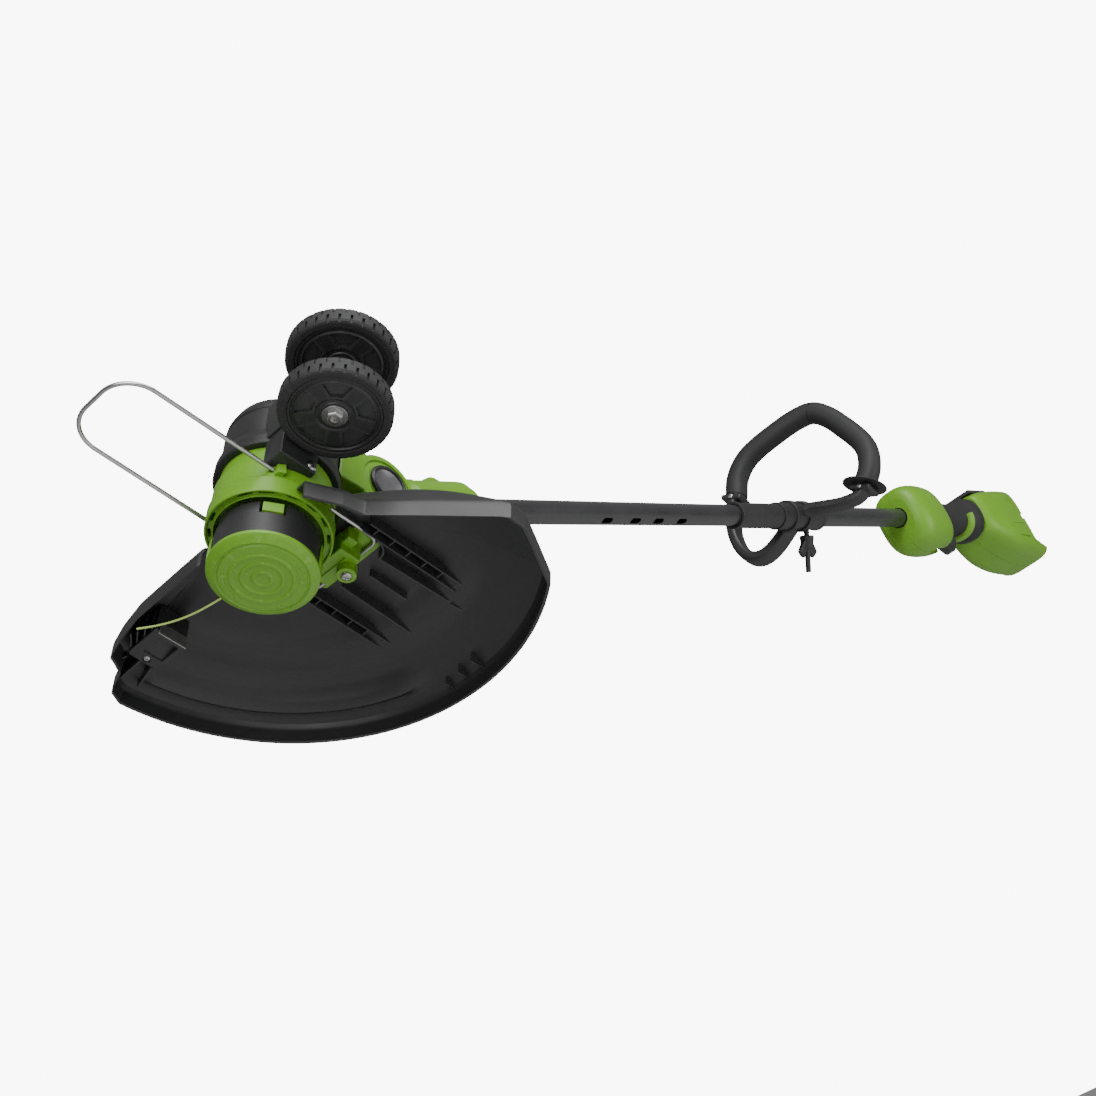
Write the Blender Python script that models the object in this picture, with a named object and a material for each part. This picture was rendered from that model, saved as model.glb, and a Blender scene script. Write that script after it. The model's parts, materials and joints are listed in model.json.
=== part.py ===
"""Cordless lawn edger and string trimmer, built as an assembly of its real pieces.

Row frame: metres, +X runs along the shaft from the cutting head to the battery end, +Z is up at the
rear grip, and the origin is at the middle of the rear grip on the shaft's axis.
Head frame: u runs rearward in the cutting plane, v equals +Y and w runs up the motor's axis from the
plane of the spool cap's rim.
"""
import math

import bmesh
import bpy
from mathutils import Matrix, Vector

# ---------------------------------------------------------------- driving dimensions (metres)
GAP = 0.0003            # clearance between pieces that touch
SEGMENTS = 28           # sides of a large round piece
SMALL_SEGMENTS = 14     # sides of a small round piece

HEAD_TILT = math.radians(36.6)     # motor axis from the row's +Z, towards +X
PIVOT_X = -1.184                   # tilt pivot on the shaft's axis
PIVOT_U = 0.085                    # the same pivot in the head frame
PIVOT_W = 0.139

TUBE_R = 0.012
TUBE_WALL = 0.0014
TUBE_FRONT = -1.112
TUBE_REAR = -0.070

CAP_R = 0.0457          # spool cap
CAP_DEPTH = 0.0087
CUP_R = 0.0435          # spool cup
CUP_WALL = 0.0025
CUP_TOP = 0.038
REEL_R = 0.0375
REEL_HUB_R = 0.014
MOTOR_SHAFT_R = 0.004

RING_R = 0.0525         # slotted ring at the foot of the head housing
RING_BOTTOM = 0.040
RING_TOP = 0.059
HOUSING_R = 0.050
HOUSING_WALL = 0.003
HOUSING_TOP = 0.098
COVER_FLARE_R = 0.053
COVER_TOP = 0.163
TOP_CAP_R = 0.0425
TOP_CAP_HEIGHT = 0.0055

MOTOR_R = 0.040
MOTOR_BOTTOM = 0.068
MOTOR_TOP = 0.132
ROTOR_R = 0.020
BEARING_R = 0.011
BEARING_HEIGHT = 0.007

WHEEL_R = 0.0465        # edging wheels
WHEEL_WIDTH = 0.018
WHEEL_U = -0.0234
WHEEL_V = -0.106
WHEEL_NEAR_W = 0.083
WHEEL_SPACING = 0.0635
TYRE_BORE = 0.0385
AXLE_R = 0.004

GUARD_R = 0.230         # line guard
GUARD_RIM_W = 0.020
GUARD_WALL_HEIGHT = 0.020
GUARD_DECK_W = 0.0735
GUARD_SLOPE_LENGTH = 0.100
GUARD_SHEET = 0.003
GUARD_INNER_R = RING_R + 0.0015

CUTTER_U = (-0.008, 0.026)         # line cutter's box under the guard
CUTTER_V = 0.1395
CUTTER_LOW_W = 0.030
BLADE_THICKNESS = 0.0015

WIRE_R = 0.0019         # sliding wire guard
WIRE_HALF_WIDTH = 0.0405
WIRE_W = 0.0655
WIRE_TIP_U = -0.176
WIRE_END_U = 0.079
WIRE_TUCK_V = 0.0185

EAR_R = 0.033           # tilt joint
EAR_INNER_Y = 0.0165
EAR_OUTER_Y = 0.038
TONGUE_R = 0.0315
PIVOT_PIN_R = 0.005
BUTTON_R = 0.0155
BUTTON_RING_R = 0.0195
BUTTON_TRAVEL = 0.003
COLLAR_R = 0.027
COLLAR_REAR = -1.036

LINE_R = 0.00085        # cutting line
LINE_W = 0.012

ASSIST_X = -0.405       # assist handle's clamp on the tube
ASSIST_ROLL = math.radians(28.0)
ASSIST_LEAN = math.radians(24.0)
GRIP_THICKNESS = 0.026
SLEEVE_R = 0.0145
SLEEVE_FRONT = -0.145   # from the clamp
CLAMP_FRONT = -0.049
SLEEVE_REAR = 0.050

HAND_GUARD_FRONT = -0.130
HAND_GUARD_REAR = -0.045
HAND_GUARD_HALF_WIDTH = 0.037
HAND_GUARD_BOTTOM = -0.051
HAND_GUARD_TOP = 0.041
REAR_GRIP_R = 0.0195
BULB_R = 0.029
BULB_X = 0.062
HOOD_FRONT = 0.064
HOOD_REAR = 0.170
HOOD_LIP = 0.205
HOOD_HALF_WIDTH = 0.043
HOOD_TOP = 0.030
HOOD_BOTTOM = -0.078
HOOD_WALL = 0.003
PANEL_HALF_WIDTH = 0.026
PANEL_THICKNESS = 0.0035

HEAD = (Matrix.Translation((PIVOT_X, 0, 0)) @ Matrix.Rotation(HEAD_TILT, 4, 'Y')
        @ Matrix.Translation((-PIVOT_U, 0, -PIVOT_W)))
ROW = Matrix.Identity(4)
CLAMP = Matrix.Translation((ASSIST_X, 0, 0)) @ Matrix.Rotation(ASSIST_ROLL, 4, 'X')
LOOP = CLAMP @ Matrix.Rotation(ASSIST_LEAN, 4, 'Y')
ALONG_X = Matrix.Rotation(math.pi / 2, 4, 'Y')      # turns a piece made along z onto +X
ALONG_MINUS_Y = Matrix.Rotation(math.pi / 2, 4, 'X')   # turns a piece made along z onto -Y

for old in list(bpy.data.objects):
    bpy.data.objects.remove(old, do_unlink=True)

# ---------------------------------------------------------------- materials
COLOURS = {
    "green": ((0.155, 0.335, 0.035), 0.45, 0.0),
    "black": ((0.021, 0.021, 0.022), 0.55, 0.0),
    "grip": ((0.015, 0.015, 0.016), 0.75, 0.0),
    "tyre": ((0.017, 0.017, 0.018), 0.80, 0.0),
    "tube": ((0.020, 0.020, 0.021), 0.35, 0.3),
    "steel": ((0.60, 0.60, 0.58), 0.28, 1.0),
    "button": ((0.30, 0.30, 0.31), 0.40, 0.4),
    "copper": ((0.60, 0.25, 0.12), 0.40, 1.0),
    "board": ((0.02, 0.14, 0.05), 0.50, 0.0),
    "line": ((0.33, 0.42, 0.10), 0.50, 0.0),
}


def material(name):
    found = bpy.data.materials.get(name)
    if found:
        return found
    colour, roughness, metallic = COLOURS[name]
    made = bpy.data.materials.new(name)
    made.use_nodes = True
    shader = made.node_tree.nodes["Principled BSDF"]
    shader.inputs["Base Color"].default_value = (*colour, 1.0)
    shader.inputs["Roughness"].default_value = roughness
    shader.inputs["Metallic"].default_value = metallic
    made.diffuse_color = (*colour, 1.0)
    return made


# ---------------------------------------------------------------- modelling tools
def add(name, bm, frame, colour, smooth=True):
    """Turn a bmesh in its own frame into a named object in the row frame."""
    bmesh.ops.recalc_face_normals(bm, faces=bm.faces)
    mesh = bpy.data.meshes.new(name)
    bm.to_mesh(mesh)
    bm.free()
    if mesh.polygons and smooth:
        mesh.shade_smooth()
        mesh.set_sharp_from_angle(angle=math.radians(35))
    made = bpy.data.objects.new(name, mesh)
    bpy.context.scene.collection.objects.link(made)
    made.matrix_world = frame
    made.data.materials.append(material(colour))
    return made


def cutter(bm, frame):
    made = add("cutter", bm, frame, "steel", smooth=False)
    made.hide_render = True
    made.display_type = 'WIRE'
    return made


def combine(target, tool, operation):
    step = target.modifiers.new(operation.lower(), 'BOOLEAN')
    step.operation = operation
    step.solver = 'EXACT'
    step.object = tool


def cut(target, *tools):
    for tool in tools:
        combine(target, tool, 'DIFFERENCE')


def join(target, *tools):
    for tool in tools:
        combine(target, tool, 'UNION')


def lathe(profile, segments=SEGMENTS):
    """Turn a closed outline of (radius, height) points about z; radius 0 closes on the axis."""
    bm = bmesh.new()
    rings = []
    for radius, height in profile:
        if radius < 1e-7:
            rings.append([bm.verts.new((0, 0, height))])
            continue
        rings.append([bm.verts.new((radius * math.cos(2 * math.pi * i / segments),
                                    radius * math.sin(2 * math.pi * i / segments), height))
                      for i in range(segments)])
    for k, lower in enumerate(rings):
        upper = rings[(k + 1) % len(rings)]
        if len(lower) == 1 and len(upper) == 1:
            continue
        for i in range(segments):
            j = (i + 1) % segments
            if len(lower) == 1:
                bm.faces.new((lower[0], upper[j], upper[i]))
            elif len(upper) == 1:
                bm.faces.new((lower[i], lower[j], upper[0]))
            else:
                bm.faces.new((lower[i], lower[j], upper[j], upper[i]))
    return bm


def disc(radius, low, high, segments=SEGMENTS):
    return lathe([(0, low), (radius, low), (radius, high), (0, high)], segments)


def ring(inner, outer, low, high, segments=SEGMENTS):
    return lathe([(inner, low), (outer, low), (outer, high), (inner, high)], segments)


def box(low, high):
    bm = bmesh.new()
    size = Vector(high) - Vector(low)
    centre = (Vector(high) + Vector(low)) / 2
    bmesh.ops.create_cube(bm, size=1.0)
    bmesh.ops.transform(bm, matrix=Matrix.Translation(centre) @ Matrix.Diagonal((*size, 1)), verts=bm.verts)
    return bm


def prism(outline, low, high):
    """Extrude a flat outline of (x, y) points along z."""
    return loft([[(x, y, low) for x, y in outline], [(x, y, high) for x, y in outline]])


def loft(sections):
    """Skin closed sections of equal point count and cap both ends."""
    bm = bmesh.new()
    rows = [[bm.verts.new(point) for point in section] for section in sections]
    count = len(rows[0])
    for first, second in zip(rows, rows[1:]):
        for i in range(count):
            j = (i + 1) % count
            bm.faces.new((first[i], first[j], second[j], second[i]))
    bm.faces.new(list(reversed(rows[0])))
    bm.faces.new(rows[-1])
    bmesh.ops.triangulate(bm, faces=[f for f in bm.faces if len(f.verts) > 4])
    return bm


def oval(x, centre_y, centre_z, half_y, half_z, power=2.6, count=24):
    """A superellipse section across X."""
    points = []
    for i in range(count):
        angle = 2 * math.pi * (i + 0.5) / count
        c, s = math.cos(angle), math.sin(angle)
        points.append((x, centre_y + half_y * math.copysign(abs(c) ** (2 / power), c),
                       centre_z + half_z * math.copysign(abs(s) ** (2 / power), s)))
    return points


def smooth_path(points, per_span=4):
    """A Catmull-Rom curve through hand-chosen route points."""
    route = [Vector(p) for p in points]
    padded = [2 * route[0] - route[1]] + route + [2 * route[-1] - route[-2]]
    result = []
    for k in range(1, len(padded) - 2):
        p0, p1, p2, p3 = padded[k - 1:k + 3]
        for i in range(per_span):
            t = i / per_span
            result.append(0.5 * (2 * p1 + (p2 - p0) * t + (2 * p0 - 5 * p1 + 4 * p2 - p3) * t * t
                                 + (3 * p1 - p0 - 3 * p2 + p3) * t ** 3))
    return result + [route[-1]]


def sweep(path, half_wide, half_thick, across, power=2.6, count=12):
    """Sweep a superellipse along a path; across is the direction of its width."""
    wide = Vector(across).normalized()
    sections = []
    for i, point in enumerate(path):
        ahead = path[min(i + 1, len(path) - 1)] - path[max(i - 1, 0)]
        thick = ahead.normalized().cross(wide).normalized()
        section = []
        for k in range(count):
            angle = 2 * math.pi * (k + 0.5) / count
            c, s = math.cos(angle), math.sin(angle)
            offset = (wide * half_wide * math.copysign(abs(c) ** (2 / power), c)
                      + thick * half_thick * math.copysign(abs(s) ** (2 / power), s))
            section.append(point + offset)
        sections.append(section)
    return loft(sections)


def rod(path, radius, sides=10):
    """A round bar along a path that may turn any way."""
    normal = Vector((0, 0, 1))
    sections = []
    for i, point in enumerate(path):
        ahead = (path[min(i + 1, len(path) - 1)] - path[max(i - 1, 0)]).normalized()
        if abs(ahead.dot(normal)) > 0.95:
            normal = Vector((1, 0, 0))
        normal = (normal - ahead * normal.dot(ahead)).normalized()
        side = ahead.cross(normal)
        sections.append([point + radius * (math.cos(2 * math.pi * k / sides) * normal
                                           + math.sin(2 * math.pi * k / sides) * side)
                         for k in range(sides)])
    return loft(sections)


def arc(centre, radius, start, end, steps):
    return [(centre[0] + radius * math.cos(math.radians(start + (end - start) * i / steps)),
             centre[1] + radius * math.sin(math.radians(start + (end - start) * i / steps)))
            for i in range(steps + 1)]


def far_side(side):
    """Everything past the plane y = 0, seen from the half on that side."""
    reach = 2.0
    low, high = (-reach, GAP / 2) if side > 0 else (-GAP / 2, reach)
    return box((-reach, low, -reach), (reach, high, reach))


def split(name, make, frame, colour, side, extra_cuts=()):
    """One half of a clamshell: what make() builds, kept on one side of the plane y = 0."""
    half = add(name, make(), frame, colour)
    cut(half, *extra_cuts)
    cut(half, cutter(far_side(side), frame))
    return half


def screw(name, frame, radius, head_radius, length, head_height=0.002):
    """A pan-head screw along -z of its frame, its head's foot at z = 0, with a cross recess."""
    made = add(name, lathe([(0, -length), (radius, -length), (radius, 0), (head_radius, 0),
                            (head_radius, head_height * 0.5), (head_radius * 0.7, head_height),
                            (0, head_height)], 16), frame, "steel")
    reach = head_radius * 0.6
    slot = head_radius * 0.12
    quarter = [(slot, slot), (slot, reach), (-slot, reach), (-slot, slot)]
    cross = []
    for turn in range(4):
        c, d = ((1, 0), (0, 1), (-1, 0), (0, -1))[turn]
        cross += [(c * x - d * y, d * x + c * y) for x, y in quarter[:3]]
    cut(made, cutter(prism(cross, head_height * 0.5, head_height + 0.001), frame))
    return made


# ---------------------------------------------------------------- shaft
def build_shaft():
    length = TUBE_REAR - TUBE_FRONT
    add("shaft_tube", ring(TUBE_R - TUBE_WALL, TUBE_R, 0, length),
        Matrix.Translation((TUBE_FRONT, 0, 0)) @ ALONG_X, "tube")
    add("power_cable", disc(0.0035, 0, length - 0.010, 12),
        Matrix.Translation((TUBE_FRONT + 0.005, 0, 0)) @ ALONG_X, "grip")


# ---------------------------------------------------------------- spinning spool
def build_spool():
    low = 0.0018
    cup = add("spool_cup", lathe([(CUP_R - CUP_WALL, low), (CUP_R, low), (CUP_R, CUP_TOP),
                                  (MOTOR_SHAFT_R + GAP, CUP_TOP), (MOTOR_SHAFT_R + GAP, CUP_TOP - CUP_WALL),
                                  (CUP_R - CUP_WALL, CUP_TOP - CUP_WALL)]), HEAD, "black")
    eyelet_frame = HEAD @ Matrix.Translation((0, CUP_R, LINE_W)) @ Matrix.Rotation(-math.pi / 2, 4, 'X')
    tab_half = 0.0085
    cut(cup, cutter(disc(0.0032, -0.006, 0.006, 16), eyelet_frame),
        cutter(box((-CUP_R - 0.005, -tab_half - GAP, CUP_TOP - 0.013 - GAP),
                   (-CUP_R + 0.010, tab_half + GAP, CUP_TOP - CUP_WALL - GAP)), TAB_FRAME))
    add("release_tab", box((-CUP_R - 0.0012, -tab_half, CUP_TOP - 0.013),
                           (-CUP_R + 0.004, tab_half, CUP_TOP - CUP_WALL - 2 * GAP)), TAB_FRAME, "green")
    add("line_eyelet", lathe([(LINE_R + GAP, -0.0030), (0.0028, -0.0030), (0.0028, 0.0004),
                              (0.0040, 0.0004), (0.0040, 0.0016), (LINE_R + GAP, 0.0016)], 16),
        eyelet_frame, "steel")
    add("spool_cap", lathe([(0, -CAP_DEPTH), (0.009, -CAP_DEPTH), (0.030, -CAP_DEPTH + 0.0012),
                            (CAP_R - 0.004, -0.0050), (CAP_R, -0.0030), (CAP_R, 0.0014),
                            (CUP_R - CUP_WALL - GAP, 0.0014), (CUP_R - CUP_WALL - GAP, 0.0034),
                            (CUP_R - CUP_WALL - 0.002, 0.0034), (CUP_R - CUP_WALL - 0.002, -0.0010),
                            (0.0085, -0.0040), (0.0085, 0.0030), (0.0060, 0.0030), (0.0060, -0.0045),
                            (0, -0.0045)]), HEAD, "green")
    reel_low, reel_high, flange = 0.0055, 0.0310, 0.0016
    bore = MOTOR_SHAFT_R + 0.0006
    add("line_reel", lathe([(bore, reel_low), (REEL_R, reel_low), (REEL_R, reel_low + flange),
                            (REEL_HUB_R, reel_low + flange), (REEL_HUB_R, reel_high - flange),
                            (REEL_R, reel_high - flange), (REEL_R, reel_high), (bore, reel_high)]),
        HEAD, "black")
    add("line_winding", ring(REEL_HUB_R + GAP, REEL_R - 0.004, reel_low + flange + GAP,
                             reel_high - flange - GAP), HEAD, "line")
    turns, spring_r, wire = 2.5, 0.0115, 0.0006
    spring_low, spring_high = -0.0015, reel_low - wire - GAP
    steps = int(turns * 14)
    coil = [Vector((spring_r * math.cos(2 * math.pi * turns * i / steps),
                    spring_r * math.sin(2 * math.pi * turns * i / steps),
                    spring_low + (spring_high - spring_low) * i / steps)) for i in range(steps + 1)]
    add("reel_spring", rod(coil, wire, 6), HEAD, "steel")
    add("motor_shaft", disc(MOTOR_SHAFT_R, 0.012, MOTOR_TOP + 0.004, SMALL_SEGMENTS), HEAD, "steel")
    add("motor_rotor", ring(MOTOR_SHAFT_R + GAP, ROTOR_R, MOTOR_BOTTOM + 0.014, MOTOR_TOP - 0.014, 24),
        HEAD, "steel")
    route = [(0, CUP_R + 0.002, LINE_W), (0.0005, 0.052, LINE_W), (-0.0005, 0.060, LINE_W),
             (-0.0025, 0.073, LINE_W), (-0.006, 0.089, LINE_W), (-0.0115, 0.105, LINE_W),
             (-0.0190, 0.120, LINE_W), (-0.0280, 0.134, LINE_W)]
    curve = bpy.data.curves.new("trimmer_line", 'CURVE')
    curve.dimensions = '3D'
    curve.bevel_depth = LINE_R
    curve.bevel_resolution = 2
    curve.use_fill_caps = True
    points = [HEAD @ p for p in smooth_path(route, 5)]
    spline = curve.splines.new('POLY')
    spline.points.add(len(points) - 1)
    for slot, point in zip(spline.points, points):
        slot.co = (*point, 1)
    made = bpy.data.objects.new("trimmer_line", curve)
    bpy.context.scene.collection.objects.link(made)
    curve.materials.append(material("line"))


TAB_FRAME = HEAD @ Matrix.Rotation(math.radians(58), 4, 'Z')   # the tab's side of the cup is -x here


# ---------------------------------------------------------------- head housing
def cover_profile(grow=0.0):
    return [(COVER_FLARE_R + grow, HOUSING_TOP + GAP - grow), (COVER_FLARE_R + grow, HOUSING_TOP + 0.008),
            (HOUSING_R + grow, HOUSING_TOP + 0.024), (HOUSING_R + grow, COVER_TOP - 0.010),
            (TOP_CAP_R + 0.002 + grow, COVER_TOP + grow)]


def build_housing():
    def lower_shell():
        inner = HOUSING_R - HOUSING_WALL
        return lathe([(CUP_R + 0.0015, RING_BOTTOM), (RING_R - 0.0015, RING_BOTTOM),
                      (RING_R, RING_BOTTOM + 0.0015), (RING_R, RING_TOP - 0.002), (HOUSING_R, RING_TOP),
                      (HOUSING_R, HOUSING_TOP), (inner, HOUSING_TOP), (inner, RING_TOP + 0.005),
                      (BEARING_R + 0.002, RING_TOP + 0.005), (BEARING_R + 0.002, RING_TOP),
                      (CUP_R + 0.0015, RING_TOP)])

    slots = []
    for angle in (-150, -128, -106, -84, -62):
        frame = HEAD @ Matrix.Rotation(math.radians(angle), 4, 'Z')
        slots.append(cutter(box((CUP_R + 0.0030, -0.0055, RING_BOTTOM - 0.002),
                                (CUP_R + 0.0062, 0.0055, RING_BOTTOM + 0.004)), frame))
    wire_clear = WIRE_R + 0.0006
    for side in (1, -1):
        low_v = side * WIRE_HALF_WIDTH
        slots.append(cutter(box((-0.060, low_v - wire_clear, WIRE_W - wire_clear),
                                (0.060, low_v + wire_clear, WIRE_W + wire_clear)), HEAD))
        if side > 0:
            outer = (low_v, 0.060)
        else:
            outer = (-0.060, low_v)
        slots.append(cutter(box((-0.060, outer[0], WIRE_W - wire_clear),
                                (0.060, outer[1], WIRE_W + wire_clear)), HEAD))
    for name, side in (("head_housing_left", -1), ("head_housing_right", 1)):
        split(name, lower_shell, HEAD, "green", side, slots)

    def upper_shell():
        inner = HOUSING_R - HOUSING_WALL
        return lathe(cover_profile() + [(TOP_CAP_R + GAP, COVER_TOP), (TOP_CAP_R + GAP, COVER_TOP - 0.004),
                                        (TOP_CAP_R - 0.004, COVER_TOP - 0.004),
                                        (inner, COVER_TOP - 0.014), (inner, HOUSING_TOP + GAP)])

    for name, side in (("motor_cover_left", -1), ("motor_cover_right", 1)):
        split(name, upper_shell, HEAD, "black", side)
    add("motor_top_cap", lathe([(0, COVER_TOP - 0.004 + GAP), (TOP_CAP_R, COVER_TOP - 0.004 + GAP),
                                (TOP_CAP_R, COVER_TOP), (TOP_CAP_R - 0.004, COVER_TOP + TOP_CAP_HEIGHT * 0.7),
                                (0, COVER_TOP + TOP_CAP_HEIGHT)]), HEAD, "green")
    plate = 0.005
    add("motor_stator", lathe([(ROTOR_R + 0.0008, MOTOR_BOTTOM + 0.010), (MOTOR_R, MOTOR_BOTTOM + 0.010),
                               (MOTOR_R, MOTOR_TOP - 0.010), (ROTOR_R + 0.0008, MOTOR_TOP - 0.010)]),
        HEAD, "copper")
    for name, low in (("motor_lower_plate", MOTOR_BOTTOM), ("motor_upper_plate", MOTOR_TOP - 0.010 + GAP)):
        high = low + 0.010 - GAP
        solid = (low, low + plate) if name == "motor_upper_plate" else (high - plate, high)
        if name == "motor_lower_plate":
            profile = [(BEARING_R + GAP, low), (BEARING_R + 0.004, low), (BEARING_R + 0.004, solid[0]),
                       (MOTOR_R, solid[0]), (MOTOR_R, high), (BEARING_R + GAP, high)]
        else:
            profile = [(BEARING_R + GAP, low), (MOTOR_R, low), (MOTOR_R, solid[1]),
                       (BEARING_R + 0.004, solid[1]), (BEARING_R + 0.004, high), (BEARING_R + GAP, high)]
        add(name, lathe(profile), HEAD, "steel")
    for name, low in (("lower_bearing", MOTOR_BOTTOM + 0.001), ("upper_bearing", MOTOR_TOP - 0.008)):
        add(name, ring(MOTOR_SHAFT_R + GAP, BEARING_R, low, low + BEARING_HEIGHT, 24), HEAD, "steel")


# ---------------------------------------------------------------- tilt joint and neck
def build_neck():
    pivot_head = HEAD @ Matrix.Translation((PIVOT_U, 0, PIVOT_W)) @ ALONG_MINUS_Y
    cover_clear = cover_profile(GAP)
    core = [(0, cover_clear[0][1])] + cover_clear + [(0, cover_clear[-1][1])]
    pocket = cutter(disc(BUTTON_R + GAP, EAR_OUTER_Y - 0.0065, EAR_OUTER_Y + 0.01), pivot_head)
    web_u = 0.034           # the arms start inside the cover's outline and are cut to it
    web_half = 0.024
    for name, side in (("head_arm_left", 1), ("head_arm_right", -1)):
        inner, outer = sorted((side * EAR_INNER_Y, side * EAR_OUTER_Y))
        ear = arc((0, 0), EAR_R, -133, 133, 18)
        ear += [(web_u - PIVOT_U, web_half), (web_u - PIVOT_U, -web_half)]
        arm = add(name, prism(ear, inner, outer), pivot_head, "green")
        cut(arm, cutter(lathe(core), HEAD),
            cutter(disc(PIVOT_PIN_R + GAP, -0.05, 0.05, SMALL_SEGMENTS), pivot_head))
        if side > 0:
            cut(arm, pocket)
    pivot_row = Matrix.Translation((PIVOT_X, 0, 0)) @ ALONG_MINUS_Y
    add("pivot_pin", disc(PIVOT_PIN_R, -EAR_OUTER_Y + 0.001, EAR_OUTER_Y - 0.0115, 20), pivot_row, "steel")
    add("button_ring", lathe([(BUTTON_R + GAP, EAR_OUTER_Y + GAP), (BUTTON_RING_R, EAR_OUTER_Y + GAP),
                              (BUTTON_RING_R, EAR_OUTER_Y + 0.0030),
                              (BUTTON_RING_R - 0.0012, EAR_OUTER_Y + 0.0042),
                              (BUTTON_R + GAP, EAR_OUTER_Y + 0.0034)]), pivot_head, "black")
    add("pivot_button", lathe([(0, EAR_OUTER_Y - 0.0028), (BUTTON_R, EAR_OUTER_Y - 0.0028),
                               (BUTTON_R, EAR_OUTER_Y + 0.0030), (BUTTON_R * 0.6, EAR_OUTER_Y + 0.0019),
                               (0, EAR_OUTER_Y + 0.0014)]), pivot_head, "button")

    half = EAR_INNER_Y - GAP
    collar_front, step_r, end_r = PIVOT_X + 0.052, 0.021, 0.0195
    plate = arc((0, 0), TONGUE_R, 60, 300, 16) + [(0.070, -0.0225), (0.070, 0.0225)]
    for name, side in (("neck_yoke_left", -1), ("neck_yoke_right", 1)):
        low, high = sorted((-side * GAP / 2, -side * half))
        tongue = add(name, prism(plate, low, high), pivot_row, "green")
        collar = cutter(lathe([(0, collar_front), (0.023, collar_front), (COLLAR_R, collar_front + 0.010),
                               (COLLAR_R, COLLAR_REAR - 0.012), (step_r, COLLAR_REAR - 0.012),
                               (end_r, COLLAR_REAR), (0, COLLAR_REAR)]), ALONG_X)
        join(tongue, collar)
        cut(tongue, cutter(disc(TUBE_R + GAP, TUBE_FRONT - GAP, 0), ALONG_X),
            cutter(disc(PIVOT_PIN_R + GAP, -0.05, 0.05, SMALL_SEGMENTS), pivot_row),
            cutter(far_side(side), ROW))
    add("collar_tab", box((-1.090, -0.006, COLLAR_R + 0.0005), (-1.060, 0.006, COLLAR_R + 0.006)), ROW,
        "green")


# ---------------------------------------------------------------- line guard
def guard_reach(angle):
    """Distance from the motor's axis to the guard's rim, for an angle in degrees from +u towards +v."""
    corners = [(-105.0, 0.074), (-84.0, 0.0855), (-73.0, 0.0930), (-56.5, 0.200), (-52.5, 0.2105),
               (-47.0, 0.2150), (-36.0, GUARD_R), (85.0, GUARD_R), (88.5, 0.222), (90.5, 0.198),
               (93.5, 0.1915), (96.0, 0.188), (99.0, 0.166), (103.0, 0.1375), (124.0, 0.0585)]
    direction = (math.cos(math.radians(angle)), math.sin(math.radians(angle)))
    for (a0, r0), (a1, r1) in zip(corners, corners[1:]):
        if a0 <= angle <= a1:
            if r0 == r1:
                return r0
            x0, y0 = r0 * math.cos(math.radians(a0)), r0 * math.sin(math.radians(a0))
            x1, y1 = r1 * math.cos(math.radians(a1)), r1 * math.sin(math.radians(a1))
            across = direction[0] * (y1 - y0) - direction[1] * (x1 - x0)
            return (x0 * (y1 - y0) - y0 * (x1 - x0)) / across
    return GUARD_R


def guard_height(edge_distance):
    """Top of the guard's deck, from the rim inwards."""
    t = min(1.0, max(0.0, edge_distance / GUARD_SLOPE_LENGTH))
    shoulder = GUARD_RIM_W + GUARD_WALL_HEIGHT
    return shoulder + (GUARD_DECK_W - shoulder) * math.sin(t * math.pi / 2)


def guard_section(angle):
    reach = guard_reach(angle)
    span = reach - GUARD_INNER_R
    steps = [0.0, 0.10, 0.25, 0.45, 0.70, 1.0]
    sheet = GUARD_SHEET
    profile = [(reach, GUARD_RIM_W), (reach, guard_height(0) - 0.004)]
    profile += [(reach - 0.004 - (span - 0.004) * t, guard_height((span - 0.004) * t)) for t in steps]
    profile += [(reach - 0.004 - (span - 0.004) * t, guard_height((span - 0.004) * t) - sheet)
                for t in reversed(steps)]
    profile += [(reach - sheet, guard_height(0) - 0.007), (reach - sheet, GUARD_RIM_W)]
    c, s = math.cos(math.radians(angle)), math.sin(math.radians(angle))
    return [(r * c, r * s, w) for r, w in profile]


def build_guard():
    angles = [-105, -95, -84, -73, -69, -65, -61, -58.5, -56.5, -54.5, -52.5, -47, -36]
    angles += [-36 + 11 * i for i in range(1, 12)]
    angles += [88.5, 89.5, 90.5, 93.5, 96, 97.5, 99, 101, 103, 108, 115, 124]
    guard = add("line_guard", loft([guard_section(a) for a in angles]), HEAD, "black")
    top = guard_height(0.09) - GUARD_SHEET + 0.0008
    rails = []
    for side in (1, -1):
        for offset in (0.0450, 0.0515):
            v0 = side * offset
            rails.append(box((0.062, v0 - 0.0007, 0.0610), (0.165, v0 + 0.0007, top)))
        for k in range(6):
            u0 = 0.070 + 0.018 * k
            low_v, high_v = sorted((side * 0.0450, side * 0.0515))
            rails.append(box((u0, low_v, 0.0625), (u0 + 0.0012, high_v, top)))
    for rail in rails:
        join(guard, cutter(rail, HEAD))
    along_u = HEAD @ Matrix(((0, 0, 1, 0), (1, 0, 0, 0), (0, 1, 0, 0), (0, 0, 0, 1)))
    block = [(CUTTER_V, CUTTER_LOW_W), (0.180, CUTTER_LOW_W), (0.182, 0.0437), (CUTTER_V, 0.0630)]
    join(guard, cutter(prism(block, *CUTTER_U), along_u))
    add("line_cutter_blade", box((CUTTER_U[0] + 0.003, CUTTER_V - GAP - BLADE_THICKNESS, 0.0262),
                                 (CUTTER_U[1] - 0.003, CUTTER_V - GAP, 0.0262 + 0.0120)), HEAD, "steel")


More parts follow.
